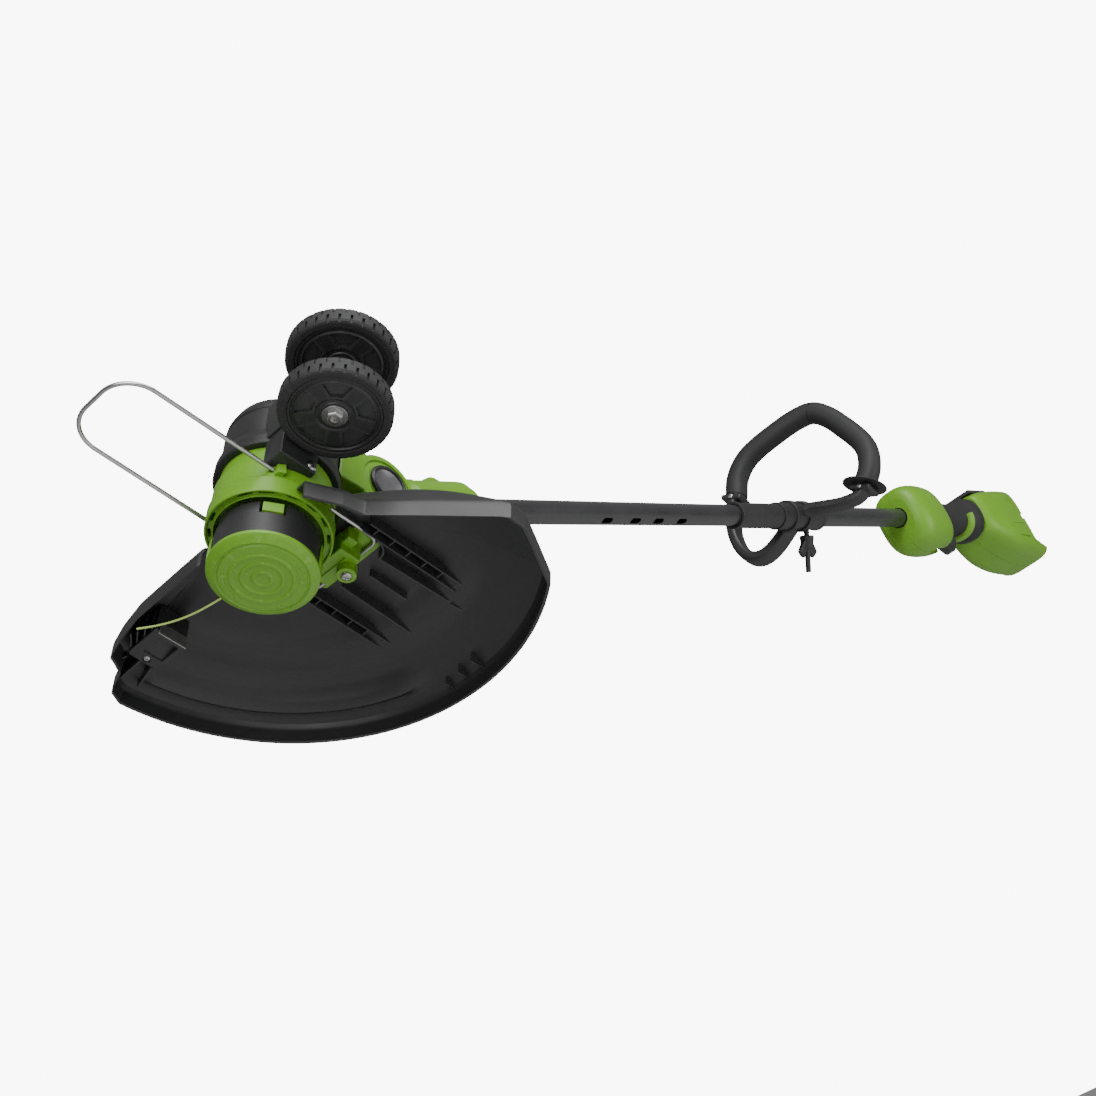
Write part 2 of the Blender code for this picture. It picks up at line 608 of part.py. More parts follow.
# ---------------------------------------------------------------- wire guard
def build_wire():
    corner = 0.030
    half = WIRE_HALF_WIDTH
    bend = 0.008
    route = [(WIRE_END_U, -WIRE_TUCK_V), (WIRE_END_U, -half + bend)]
    route += arc((WIRE_END_U - bend, -half + bend), bend, 0, -90, 5)[1:]
    route += [(0.02, -half), (-0.06, -half)]
    route += arc((WIRE_TIP_U + corner, -half + corner), corner, -90, -180, 8)
    route += arc((WIRE_TIP_U + corner, half - corner), corner, 180, 90, 8)
    route += [(-0.06, half), (0.02, half)]
    route += arc((WIRE_END_U - bend, half - bend), bend, 90, 0, 5)
    route += [(WIRE_END_U, WIRE_TUCK_V)]
    add("wire_guard", rod([Vector((u, v, WIRE_W)) for u, v in route], WIRE_R, 8), HEAD, "steel")


def build_clip():
    low_u, top = RING_R + 0.0006, GUARD_DECK_W - GUARD_SHEET - 0.0006
    plate_low = WIRE_W + WIRE_R + 0.0004
    clip = add("guard_clip", box((low_u, -0.025, 0.0480), (0.0742, 0.0165, top)), HEAD, "green")
    boss = (0.0724, -0.0108)
    plate_half = WIRE_HALF_WIDTH - 0.0045
    join(clip, cutter(box((0.0560, -plate_half, plate_low), (0.0860, plate_half, top - GAP)), HEAD),
         cutter(box((low_u + GAP, -0.0345, 0.0550), (0.0640, -0.0050, top - 2 * GAP)), HEAD),
         cutter(prism(arc(boss, 0.0085, 0, 360, 16)[:-1], 0.0400, 0.0520), HEAD))
    screw_frame = HEAD @ Matrix.Translation((*boss, 0.0400)) @ Matrix.Rotation(math.pi, 4, 'X')
    cut(clip, cutter(disc(0.0018, -0.02, 0.001, 12), screw_frame))
    screw("clip_screw", screw_frame @ Matrix.Translation((0, 0, GAP)), 0.0015, 0.0042, 0.016)


# ---------------------------------------------------------------- edging wheels
def build_wheels():
    axis = HEAD @ Matrix.Translation((WHEEL_U, WHEEL_V, WHEEL_NEAR_W))
    hub_r, rim = 0.012, TYRE_BORE - GAP
    for name, base in (("near", 0.0), ("far", WHEEL_SPACING)):
        frame = axis @ Matrix.Translation((0, 0, base))
        add(name + "_wheel_hub", lathe([(AXLE_R + GAP, 0.0006), (hub_r, 0.0006), (hub_r + 0.002, 0.0030),
                                        (rim - 0.0035, 0.0030), (rim - 0.0035, 0.0010), (rim, 0.0010),
                                        (rim, WHEEL_WIDTH - 0.0010), (rim - 0.003, WHEEL_WIDTH - 0.0010),
                                        (rim - 0.003, 0.0060), (hub_r, 0.0060), (hub_r, WHEEL_WIDTH),
                                        (AXLE_R + GAP, WHEEL_WIDTH)]), frame, "black")
        add(name + "_wheel_tyre", lathe([(TYRE_BORE, 0), (WHEEL_R - 0.0025, 0), (WHEEL_R, 0.0025),
                                         (WHEEL_R, WHEEL_WIDTH - 0.0025), (WHEEL_R - 0.0025, WHEEL_WIDTH),
                                         (TYRE_BORE, WHEEL_WIDTH)]), frame, "tyre")
    add("wheel_axle", lathe([(0, -0.0010), (AXLE_R, -0.0010), (AXLE_R, WHEEL_SPACING + WHEEL_WIDTH + 0.0012),
                             (0.0070, WHEEL_SPACING + WHEEL_WIDTH + 0.0012),
                             (0.0070, WHEEL_SPACING + WHEEL_WIDTH + 0.0040),
                             (0, WHEEL_SPACING + WHEEL_WIDTH + 0.0040)], 20), axis, "steel")
    nut = add("axle_nut", lathe([(0, -0.0040), (0.0065, -0.0040), (0.0070, 0.0002), (0, 0.0002)], 6), axis,
              "steel")
    cut(nut, cutter(disc(AXLE_R + GAP, -0.006, 0.002), axis))

    between = (WHEEL_NEAR_W + WHEEL_WIDTH + 0.0010, WHEEL_NEAR_W + WHEEL_SPACING - 0.0010)
    arm = [(WHEEL_U - 0.016, -0.030), (WHEEL_U - 0.016, -0.060)]
    arm += arc((WHEEL_U, WHEEL_V), 0.0115, 180, 360, 10)
    arm += [(WHEEL_U + 0.022, -0.060), (WHEEL_U + 0.022, -0.030)]
    bracket = add("wheel_bracket", prism(arm, *between), HEAD, "black")
    plate_v = -0.0575
    plate = cutter(box((WHEEL_U - 0.014, plate_v, 0.070), (WHEEL_U + 0.022, -0.030, between[0] + 0.005)),
                   HEAD)
    core = [(0, 0), (HOUSING_R + GAP, 0.0), (HOUSING_R + GAP, HOUSING_TOP - GAP)] + cover_profile(GAP)
    core += [(0, COVER_TOP + GAP)]
    join(bracket, plate)
    cut(bracket, cutter(lathe(core), HEAD), cutter(disc(AXLE_R + GAP, 0, 0.2, 24), axis))
    screw_frame = HEAD @ Matrix.Translation((-0.006, plate_v, 0.0765)) @ ALONG_MINUS_Y
    cut(bracket, cutter(disc(0.0018, -0.004, 0.002, 12), screw_frame))
    screw("bracket_screw", screw_frame @ Matrix.Translation((0, 0, GAP)), 0.0015, 0.0045, 0.0035)


# ---------------------------------------------------------------- assist handle
def loop_point(across, up):
    return Vector((0, -across, up))


def build_assist_handle():
    half_side = [(0.086, 0.0310), (0.086, 0.0350), (0.0885, 0.055), (0.083, 0.077), (0.068, 0.096),
                 (0.034, 0.122), (0.013, 0.1335)]
    route = [loop_point(-b, a) for b, a in half_side] + [loop_point(0, 0.1365)]
    route += [loop_point(b, a) for b, a in reversed(half_side)]
    add("assist_grip", sweep(smooth_path(route, 2), GRIP_THICKNESS * 0.5, GRIP_THICKNESS * 0.5, (1, 0, 0),
                             2.3, 12), LOOP, "grip")

    left = [loop_point(b, a) for b, a in (
        (-0.0860, 0.0300), (-0.0860, 0.0250), (-0.085, 0.010), (-0.079, -0.016), (-0.066, -0.038),
        (-0.050, -0.0505), (-0.036, -0.052), (-0.024, -0.045), (-0.014, -0.032), (-0.004, -0.0135))]
    right = [loop_point(b, a) for b, a in (
        (0.0860, 0.0300), (0.0858, 0.0260), (0.078, 0.0175), (0.060, 0.0115), (0.040, 0.0095),
        (0.022, 0.008), (0.0125, 0.004))]
    base = add("assist_base", ring(TUBE_R + GAP, SLEEVE_R + 0.0015, CLAMP_FRONT, SLEEVE_REAR),
               CLAMP @ ALONG_X, "black")
    join(base, cutter(sweep(smooth_path(left, 2), 0.0125, 0.0070, (1, 0, 0), 3.0, 10), LOOP),
         cutter(sweep(smooth_path(right, 2), 0.0100, 0.0060, (1, 0, 0), 3.0, 10), LOOP))
    cut(base, cutter(disc(TUBE_R + GAP, -0.3, 0.3), CLAMP @ ALONG_X))
    add("tube_sleeve", ring(TUBE_R + GAP, SLEEVE_R, SLEEVE_FRONT, CLAMP_FRONT - GAP), CLAMP @ ALONG_X,
        "black")
    knob_x = 0.026
    stem = CLAMP @ Matrix.Translation((knob_x, 0, -0.0165)) @ Matrix.Rotation(math.pi, 4, 'X')
    add("clamp_bolt", disc(0.0030, GAP, 0.030, 16), stem, "steel")
    knob = add("wing_knob", lathe([(0.0033, 0.006), (0.0075, 0.006), (0.0065, 0.022), (0.0033, 0.022)], 20),
               stem, "black")
    for side in (1, -1):
        wing = [Vector((side * 0.004, 0, 0.018)), Vector((side * 0.009, 0, 0.021)),
                Vector((side * 0.0155, 0, 0.0275))]
        join(knob, cutter(sweep(smooth_path(wing, 2), 0.0030, 0.0068, (0, 1, 0), 2.4, 10), stem))
    cut(knob, cutter(disc(0.0033, -0.01, 0.05, 20), stem))


# ---------------------------------------------------------------- rear handle
def build_rear_handle():
    def hand_guard():
        mid_z = (HAND_GUARD_BOTTOM + HAND_GUARD_TOP) / 2
        half_z = (HAND_GUARD_TOP - HAND_GUARD_BOTTOM) / 2
        span = HAND_GUARD_REAR - HAND_GUARD_FRONT
        shape = [(0.00, 0.55, 0.60, 0.004), (0.06, 0.82, 0.84, 0.003), (0.22, 0.97, 0.97, 0.001),
                 (0.45, 1.0, 1.0, 0.0), (0.72, 0.97, 0.97, -0.001), (0.90, 0.86, 0.88, -0.003),
                 (1.0, 0.68, 0.74, -0.005)]
        return loft([oval(HAND_GUARD_FRONT + span * t, 0, mid_z + dz, HAND_GUARD_HALF_WIDTH * wy,
                          half_z * wz, 2.7, 28) for t, wy, wz, dz in shape])

    front_cavity = cutter(loft([oval(HAND_GUARD_FRONT + 0.012, 0, -0.010, 0.024, 0.030, 2.7, 20),
                                oval(HAND_GUARD_REAR - 0.012, 0, -0.010, 0.024, 0.030, 2.7, 20)]), ROW)
    tube_bore = cutter(disc(TUBE_R + GAP, -0.3, 0.3), ALONG_X)
    trigger_slot = cutter(box((-0.082, -0.0075, -0.070), (0.004, 0.0075, -0.0125)), ROW)
    lever_slot = cutter(box((-0.0600, -0.0075, 0.010), (HAND_GUARD_REAR + 0.02, 0.0075, 0.060)), ROW)
    grip_socket = cutter(disc(REAR_GRIP_R + 0.0014, HAND_GUARD_REAR - 0.010, 0), ALONG_X)
    for name, side in (("hand_guard_left", -1), ("hand_guard_right", 1)):
        split(name, hand_guard, ROW, "green", side,
              (front_cavity, tube_bore, trigger_slot, lever_slot, grip_socket))

    def grip():
        rows = [(HAND_GUARD_REAR - 0.009, REAR_GRIP_R - 0.0010, 0.0),
                (HAND_GUARD_REAR + 0.015, REAR_GRIP_R, 0.0), (0.010, REAR_GRIP_R, -0.001),
                (0.030, REAR_GRIP_R + 0.0015, -0.002), (0.045, BULB_R - 0.004, -0.004),
                (BULB_X - 0.006, BULB_R, -0.004), (BULB_X + 0.008, BULB_R, -0.004)]
        return loft([oval(x, 0, z, r, r * 1.04, 2.2, 24) for x, r, z in rows])

    grip_bore = cutter(disc(0.0135, -0.2, 0.2), ALONG_X)
    for name, side in (("grip_shell_left", -1), ("grip_shell_right", 1)):
        split(name, grip, ROW, "grip", side, (grip_bore, trigger_slot, lever_slot))

    def hood_loft(rows):
        return loft([oval(x, 0, (low + high) / 2, half, (high - low) / 2, 4.5, 32)
                     for x, half, low, high in rows])

    def hood():
        return hood_loft([(HOOD_FRONT + 0.0085, 0.030, -0.032, 0.024), (HOOD_FRONT + 0.022, 0.036, -0.044, 0.027),
                          (HOOD_FRONT + 0.050, 0.041, -0.060, 0.029),
                          (HOOD_FRONT + 0.085, HOOD_HALF_WIDTH, -0.072, HOOD_TOP),
                          (HOOD_LIP, HOOD_HALF_WIDTH, HOOD_BOTTOM, HOOD_TOP)])

    def hood_cavity():
        return hood_loft([(HOOD_FRONT + 0.030, 0.033, -0.044, 0.022), (HOOD_FRONT + 0.060, 0.038, -0.058, 0.025),
                          (HOOD_LIP + 0.010, HOOD_HALF_WIDTH - HOOD_WALL, HOOD_BOTTOM + HOOD_WALL,
                           HOOD_TOP - HOOD_WALL)])

    dock = cutter(hood_cavity(), ROW)
    wire_way = cutter(disc(0.0120, -0.2, HOOD_FRONT + 0.035), ALONG_X)
    panel_low = HOOD_TOP - PANEL_THICKNESS
    panel_room = cutter(box((HOOD_FRONT, -PANEL_HALF_WIDTH - GAP, panel_low - GAP),
                            (HOOD_REAR - 0.040, PANEL_HALF_WIDTH + GAP, HOOD_TOP + 0.02)), ROW)
    opening = [(HOOD_REAR, 0.10), (HOOD_REAR, -0.054), (HOOD_REAR + 0.010, -0.060),
               (HOOD_LIP + 0.010, -0.073), (HOOD_LIP + 0.010, 0.10)]
    rear_opening = cutter(prism(opening, -0.2, 0.2), ALONG_MINUS_Y)
    for name, side in (("rear_hood_left", -1), ("rear_hood_right", 1)):
        half = add(name, hood(), ROW, "green")
        cut(half, dock, wire_way, panel_room, rear_opening, cutter(far_side(side), ROW))
    panel = add("hood_top_panel", box((HOOD_FRONT + 0.0090, -PANEL_HALF_WIDTH, panel_low),
                                      (HOOD_REAR - 0.0405, PANEL_HALF_WIDTH, HOOD_TOP + 0.0015)), ROW,
                "black")
    cut(panel, cutter(loft([oval(x, 0, -0.004, BULB_R + GAP, BULB_R * 1.04 + GAP, 2.2, 24)
                            for x in (HOOD_FRONT - 0.01, HOOD_FRONT + 0.0065)]), ROW))

    add("battery_terminal_block", box((HOOD_FRONT + 0.040, -0.020, -0.030),
                                      (HOOD_FRONT + 0.052, 0.020, 0.000)), ROW, "black")
    add("control_board", box((0.000, -0.0085, -0.0040), (0.040, 0.0085, -0.0020)), ROW, "board")
    add("trigger_switch", box((-0.0800, -0.006, -0.0235), (-0.0640, 0.006, -0.0145)), ROW, "black")
    trigger = [(-0.078, -0.0285), (-0.044, -0.0260), (-0.018, -0.0250), (-0.006, -0.0285), (-0.004, -0.0345),
               (-0.010, -0.0420), (-0.020, -0.0500), (-0.030, -0.0540), (-0.040, -0.0500), (-0.052, -0.0400),
               (-0.078, -0.0350)]
    add("trigger", prism(trigger, -0.0065, 0.0065), ALONG_MINUS_Y, "black")
    lever = [(-0.058, 0.026), (-0.048, 0.024), (-0.040, 0.030), (-0.028, 0.042), (-0.030, 0.046),
             (-0.036, 0.044), (-0.046, 0.036), (-0.058, 0.034)]
    add("lock_off_lever", prism(lever, -0.0060, 0.0060), ALONG_MINUS_Y, "black")


build_shaft()
build_spool()
build_housing()
build_neck()
build_guard()
build_wire()
build_clip()
build_wheels()
build_assist_handle()
build_rear_handle()
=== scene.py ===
"""Looks of the cordless lawn edger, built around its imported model. Metres, in the model's own frame."""
import json
import math

import bmesh
import bpy
from mathutils import Matrix, Vector


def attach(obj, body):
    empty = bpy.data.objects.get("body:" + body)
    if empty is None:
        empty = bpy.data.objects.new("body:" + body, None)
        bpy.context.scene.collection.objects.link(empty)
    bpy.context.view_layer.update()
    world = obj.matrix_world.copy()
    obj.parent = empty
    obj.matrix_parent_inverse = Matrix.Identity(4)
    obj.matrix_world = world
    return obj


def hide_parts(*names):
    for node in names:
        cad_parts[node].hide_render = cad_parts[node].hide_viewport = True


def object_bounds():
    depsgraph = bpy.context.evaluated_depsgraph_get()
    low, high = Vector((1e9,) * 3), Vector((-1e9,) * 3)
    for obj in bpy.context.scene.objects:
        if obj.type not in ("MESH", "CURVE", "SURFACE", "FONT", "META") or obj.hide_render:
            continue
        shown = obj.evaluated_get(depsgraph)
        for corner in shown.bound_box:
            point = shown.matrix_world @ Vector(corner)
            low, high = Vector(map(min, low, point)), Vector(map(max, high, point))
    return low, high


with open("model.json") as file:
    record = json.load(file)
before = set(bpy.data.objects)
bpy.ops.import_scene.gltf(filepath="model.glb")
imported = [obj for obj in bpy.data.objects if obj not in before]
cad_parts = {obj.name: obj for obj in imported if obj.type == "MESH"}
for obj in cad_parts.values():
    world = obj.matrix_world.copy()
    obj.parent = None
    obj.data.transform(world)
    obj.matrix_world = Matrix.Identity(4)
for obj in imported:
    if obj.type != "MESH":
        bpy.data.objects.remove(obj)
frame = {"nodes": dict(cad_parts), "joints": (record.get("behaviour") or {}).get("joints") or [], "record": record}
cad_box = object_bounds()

JOINTS = {joint["name"]: joint for joint in frame["joints"]}


def joint_place(name):
    return Vector(JOINTS[name]["pos_m"]), Vector(JOINTS[name]["axis"]).normalized()


def spun(place, degrees):
    return place @ Matrix.Rotation(math.radians(degrees), 4, 'Z')


def moved(place, *shift):
    return place @ Matrix.Translation(shift)


# ---------------------------------------------------------------- frames and dimensions (metres)
GAP = 0.0003
ROUND = 96              # sides of a large round piece
SMALL_ROUND = 40        # sides of a small round piece

spool_centre, spool_axis = joint_place("spool_spin")
PIVOT, PIVOT_AXIS = joint_place("head_tilt")
WHEEL_CENTRE, _ = joint_place("near_wheel_roll")
KNOB_FOOT, _ = joint_place("wing_knob_turn")
ACROSS = Vector((0, 1, 0))
rearward = ACROSS.cross(spool_axis).normalized()
# Head frame: u rearward in the cutting plane, v along +Y, w up the motor's axis.
HEAD = Matrix((
    (rearward.x, 0, spool_axis.x, spool_centre.x),
    (rearward.y, 1, spool_axis.y, spool_centre.y),
    (rearward.z, 0, spool_axis.z, spool_centre.z),
    (0, 0, 0, 1)))
ROW = Matrix.Identity(4)
ALONG_X = Matrix.Rotation(math.pi / 2, 4, 'Y')
ALONG_MINUS_Y = Matrix.Rotation(math.pi / 2, 4, 'X')
FACING_DOWN = Matrix.Rotation(math.pi, 4, 'X')
pivot_in_head = HEAD.inverted() @ PIVOT
wheel_in_head = HEAD.inverted() @ WHEEL_CENTRE
PIVOT_U, PIVOT_W = pivot_in_head.x, pivot_in_head.z
WHEEL_U, WHEEL_V, WHEEL_NEAR_W = wheel_in_head
PIVOT_HEAD = moved(HEAD, PIVOT_U, 0, PIVOT_W) @ ALONG_MINUS_Y
PIVOT_ROW = Matrix.Translation(PIVOT) @ ALONG_MINUS_Y

TUBE_R = 0.012
TUBE_WALL = 0.0014
TUBE_FRONT = -1.112
TUBE_REAR = -0.07
CAP_R = 0.0457
CAP_DEPTH = 0.0087
CUP_R = 0.0435
CUP_TOP = 0.038
TAB_ANGLE = 58          # the release tab's side of the cup, in degrees from +u
REEL_R = 0.0375
REEL_HUB_R = 0.014
RING_R = 0.0525
RING_BOTTOM = 0.04
RING_TOP = 0.059
HOUSING_R = 0.05
HOUSING_WALL = 0.003
HOUSING_TOP = 0.098
COVER_FLARE_R = 0.053
COVER_TOP = 0.163
TOP_CAP_R = 0.0425
WHEEL_R = 0.0465
WHEEL_WIDTH = 0.018
WHEEL_SPACING = 0.0635
SPOKE_COUNT = 5
TREAD_COUNT = 30
TYRE_BORE = 0.0385
AXLE_R = 0.004
GUARD_R = 0.23
GUARD_RIM_W = 0.02
GUARD_WALL_HEIGHT = 0.02
GUARD_DECK_W = 0.0735
GUARD_SLOPE_LENGTH = 0.1
GUARD_SHEET = 0.003
WIRE_R = 0.0019
WIRE_HALF_WIDTH = 0.0405
WIRE_W = 0.0655
WIRE_TIP_U = -0.176
WIRE_END_U = 0.079
WIRE_TUCK_V = 0.0185
EAR_R = 0.033
EAR_INNER_Y = 0.0165
EAR_OUTER_Y = 0.038
TONGUE_R = 0.0315
PIVOT_PIN_R = 0.005
BUTTON_R = 0.0155
BUTTON_RING_R = 0.0195
COLLAR_R = 0.027
COLLAR_REAR = -1.036
CUTTER_U = (-0.008, 0.026)
CUTTER_V = 0.1395
CUTTER_LOW_W = 0.03
LINE_R = 0.00085
LINE_W = 0.012
ASSIST_X = -0.405
ASSIST_HALF_WIDTH = 0.086   # of the loop at its clamp ends
ASSIST_ROLL = math.radians(28.0)
ASSIST_LEAN = math.radians(24.0)
GRIP_THICKNESS = 0.026
SLEEVE_R = 0.0145
SLEEVE_FRONT = -0.145
CLAMP_FRONT = -0.049
SLEEVE_REAR = 0.05
HAND_GUARD_FRONT = -0.13
HAND_GUARD_REAR = -0.045
HAND_GUARD_HALF_WIDTH = 0.037
HAND_GUARD_BOTTOM = -0.051
HAND_GUARD_TOP = 0.041
REAR_GRIP_R = 0.0195
BULB_R = 0.029
BULB_X = 0.062
HOOD_FRONT = 0.064
HOOD_REAR = 0.17
HOOD_LIP = 0.205
HOOD_HALF_WIDTH = 0.043
HOOD_TOP = 0.03
HOOD_BOTTOM = -0.078
HOOD_WALL = 0.003
PANEL_HALF_WIDTH = 0.026
PANEL_THICKNESS = 0.0035

CLAMP = Matrix.Translation((ASSIST_X, 0, 0)) @ Matrix.Rotation(ASSIST_ROLL, 4, 'X')
LOOP = CLAMP @ Matrix.Rotation(ASSIST_LEAN, 4, 'Y')
TAB_FRAME = spun(HEAD, TAB_ANGLE)


# ---------------------------------------------------------------- materials
def node(tree, kind, **inputs):
    made = tree.nodes.new(kind)
    for name, value in inputs.items():
        made.inputs[name.replace("_", " ")].default_value = value
    return made


def finish_material(name, colour, roughness, metallic=0.0, grain=900.0, relief=0.12, spread=0.1,
                    worn_and_highlit=(0.0, 0.0, 0.0), wear_and_highlight=0.0, stretch=(1, 1, 1), coat=0.0):
    """A moulded, painted or metal surface: fine grain, slow colour and gloss variation, and pointy edges lightened
    partly as wear and partly as a painted edge highlight.
    """
    made = bpy.data.materials.new(name)
    made.use_nodes = True
    tree = made.node_tree
    shader = tree.nodes["Principled BSDF"]
    shader.inputs["Metallic"].default_value = metallic
    shader.inputs["Specular IOR Level"].default_value = 0.5
    shader.inputs["Coat Weight"].default_value = coat
    shader.inputs["Coat Roughness"].default_value = 0.15
    place = tree.nodes.new("ShaderNodeTexCoord")
    turn = tree.nodes.new("ShaderNodeMapping")
    turn.inputs["Scale"].default_value = stretch
    tree.links.new(place.outputs["Object"], turn.inputs["Vector"])
    fine = node(tree, "ShaderNodeTexNoise", Scale=grain, Detail=4.0, Roughness=0.6)
    slow = node(tree, "ShaderNodeTexNoise", Scale=22.0, Detail=3.0, Roughness=0.5)
    tree.links.new(turn.outputs["Vector"], fine.inputs["Vector"])
    tree.links.new(place.outputs["Object"], slow.inputs["Vector"])
    tint = tree.nodes.new("ShaderNodeValToRGB")
    tint.color_ramp.elements[0].position = 0.3
    tint.color_ramp.elements[1].position = 0.7
    tint.color_ramp.elements[0].color = (*[c * (1 - spread) for c in colour], 1)
    tint.color_ramp.elements[1].color = (*[c * (1 + spread) for c in colour], 1)
    tree.links.new(slow.outputs["Fac"], tint.inputs["Fac"])
    base = tint.outputs["Color"]
    # Pointy edges are lightened towards the worn colour: partly edge wear, partly a painted highlight on the
    # edges.
    if wear_and_highlight > 0:
        edge = tree.nodes.new("ShaderNodeNewGeometry")
        keep = tree.nodes.new("ShaderNodeMapRange")
        keep.inputs["From Min"].default_value = 0.53
        keep.inputs["From Max"].default_value = 0.62
        keep.inputs["To Max"].default_value = wear_and_highlight
        tree.links.new(edge.outputs["Pointiness"], keep.inputs["Value"])
        mix = tree.nodes.new("ShaderNodeMixRGB")
        mix.inputs["Color2"].default_value = (*worn_and_highlit, 1)
        tree.links.new(keep.outputs["Result"], mix.inputs["Fac"])
        tree.links.new(base, mix.inputs["Color1"])
        base = mix.outputs["Color"]
    tree.links.new(base, shader.inputs["Base Color"])
    gloss = tree.nodes.new("ShaderNodeMapRange")
    gloss.inputs["From Min"].default_value = 0.3
    gloss.inputs["From Max"].default_value = 0.7
    gloss.inputs["To Min"].default_value = max(0.04, roughness - 0.05)
    gloss.inputs["To Max"].default_value = roughness + 0.05
    tree.links.new(slow.outputs["Fac"], gloss.inputs["Value"])
    tree.links.new(gloss.outputs["Result"], shader.inputs["Roughness"])
    bump = node(tree, "ShaderNodeBump", Strength=relief, Distance=0.0002)
    tree.links.new(fine.outputs["Fac"], bump.inputs["Height"])
    tree.links.new(bump.outputs["Normal"], shader.inputs["Normal"])
    return made


# Each worn colour lightens pointy edges: partly wear, partly a painted edge highlight.
MATERIALS = {
    "green_plastic": finish_material("green_plastic", (0.13, 0.32, 0.012), 0.42, worn_and_highlit=(0.24, 0.46, 0.07),
                                     wear_and_highlight=0.35, relief=0.08, spread=0.05),
    "black_plastic": finish_material("black_plastic", (0.017, 0.017, 0.018), 0.45, worn_and_highlit=(0.055, 0.055, 0.057),
                                     wear_and_highlight=0.35, relief=0.15),
    "soft_grip": finish_material("soft_grip", (0.014, 0.014, 0.015), 0.66, grain=1400, relief=0.3,
                                 worn_and_highlit=(0.05, 0.05, 0.05), wear_and_highlight=0.2),
    "tyre_rubber": finish_material("tyre_rubber", (0.017, 0.017, 0.018), 0.7, grain=700, relief=0.3,
                                   worn_and_highlit=(0.06, 0.06, 0.06), wear_and_highlight=0.3),
    "coated_tube": finish_material("coated_tube", (0.024, 0.024, 0.026), 0.3, grain=2500, relief=0.05,
                                   coat=0.2),
    "bright_steel": finish_material("bright_steel", (0.46, 0.46, 0.45), 0.28, metallic=1.0, grain=500,
                                    relief=0.1, stretch=(0.08, 1, 1), spread=0.04),
    "button_metal": finish_material("button_metal", (0.16, 0.16, 0.17), 0.28, metallic=0.55, grain=1500,
                                    relief=0.08),
    "copper_winding": finish_material("copper_winding", (0.6, 0.25, 0.12), 0.35, metallic=1.0, grain=300,
                                      relief=0.4, stretch=(1, 1, 8)),
    "circuit_board": finish_material("circuit_board", (0.02, 0.14, 0.05), 0.45, grain=400, relief=0.3),
    "cutting_line": finish_material("cutting_line", (0.4, 0.56, 0.13), 0.42, grain=900, relief=0.1),
}

for entry in frame["record"]["subparts"]:
    shown = frame["nodes"][entry["node"]]
    shown.data.materials.clear()
    shown.data.materials.append(MATERIALS[entry["material_slot"]])
SLOT_OF = {entry["node"]: entry["material_slot"] for entry in frame["record"]["subparts"]}
BODY_OF = {name: body for body, names in frame["record"]["behaviour"]["bodies"].items() for name in names}


# ---------------------------------------------------------------- modelling tools
def shape(bm, place=ROW):
    """A temporary object in the row frame."""
    bmesh.ops.recalc_face_normals(bm, faces=bm.faces)
    bm.transform(place)
    mesh = bpy.data.meshes.new("shape")
    bm.to_mesh(mesh)
    bm.free()
    made = bpy.data.objects.new("shape", mesh)
    bpy.context.scene.collection.objects.link(made)
    return made


def drop(obj):
    mesh = obj.data
    bpy.data.objects.remove(obj, do_unlink=True)
    bpy.data.meshes.remove(mesh)


def combine(target, tools, operation):
    for tool in tools:
        step = target.modifiers.new("step", 'BOOLEAN')
        step.operation = operation
        step.solver = 'EXACT'
        step.object = tool
    bpy.context.view_layer.update()
    solved = bpy.data.meshes.new_from_object(target.evaluated_get(bpy.context.evaluated_depsgraph_get()))
    target.modifiers.clear()
    old = target.data
    target.data = solved
    bpy.data.meshes.remove(old)
    for tool in tools:
        drop(tool)
    return target


def cut(target, *tools):
    return combine(target, tools, 'DIFFERENCE')


def join(target, *tools):
    return combine(target, tools, 'UNION')


def gather(target, *others):
    """Put separate shapes into one object without a Boolean."""
    bm = bmesh.new()
    bm.from_mesh(target.data)
    for other in others:
        bm.from_mesh(other.data)
        drop(other)
    bm.to_mesh(target.data)
    bm.free()
    return target


def soften(target, width, angle=40.0, segments=2, where=None):
    """Round the sharp edges of a shape; where(edge) picks some of them."""
    bm = bmesh.new()
    bm.from_mesh(target.data)
    limit = math.radians(angle)
    edges = [e for e in bm.edges if len(e.link_faces) == 2 and e.calc_face_angle(0) > limit
             and (where is None or where(e))]
    bmesh.ops.bevel(bm, geom=edges, offset=width, segments=segments, affect='EDGES', clamp_overlap=True,
                    profile=0.6)
    bm.to_mesh(target.data)
    bm.free()
    return target


def show(target, name, stands_for, material=None, body=None, sharp=35.0):
    """Name a finished shape, give it its material, and let it ride and stand for its CAD nodes."""
    nodes = [stands_for] if isinstance(stands_for, str) else list(stands_for)
    first = nodes[0] if nodes else None
    target.name = name
    target.data.name = name
    target.data.materials.clear()
    finish = material or SLOT_OF[first]
    target.data.materials.append(MATERIALS[finish])
    target.data.shade_smooth()
    target.data.set_sharp_from_angle(angle=math.radians(sharp))
    weigh = target.modifiers.new("weighted normals", 'WEIGHTED_NORMAL')
    weigh.keep_sharp = True
    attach(target, body or BODY_OF[first])
    if nodes:
        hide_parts(*nodes)
    return target


def lathe(profile, segments=ROUND):
    """Turn a closed outline of (radius, height) points about z; radius 0 closes on the axis."""
    bm = bmesh.new()
    rings = []
    for radius, height in profile:
        if radius < 1e-7:
            rings.append([bm.verts.new((0, 0, height))])
            continue
        rings.append([bm.verts.new((radius * math.cos(2 * math.pi * i / segments),
                                    radius * math.sin(2 * math.pi * i / segments), height))
                      for i in range(segments)])
    for k, lower in enumerate(rings):
        upper = rings[(k + 1) % len(rings)]
        if len(lower) == 1 and len(upper) == 1:
            continue
        for i in range(segments):
            j = (i + 1) % segments
            if len(lower) == 1:
                bm.faces.new((lower[0], upper[j], upper[i]))
            elif len(upper) == 1:
                bm.faces.new((lower[i], lower[j], upper[0]))
            else:
                bm.faces.new((lower[i], lower[j], upper[j], upper[i]))
    return bm


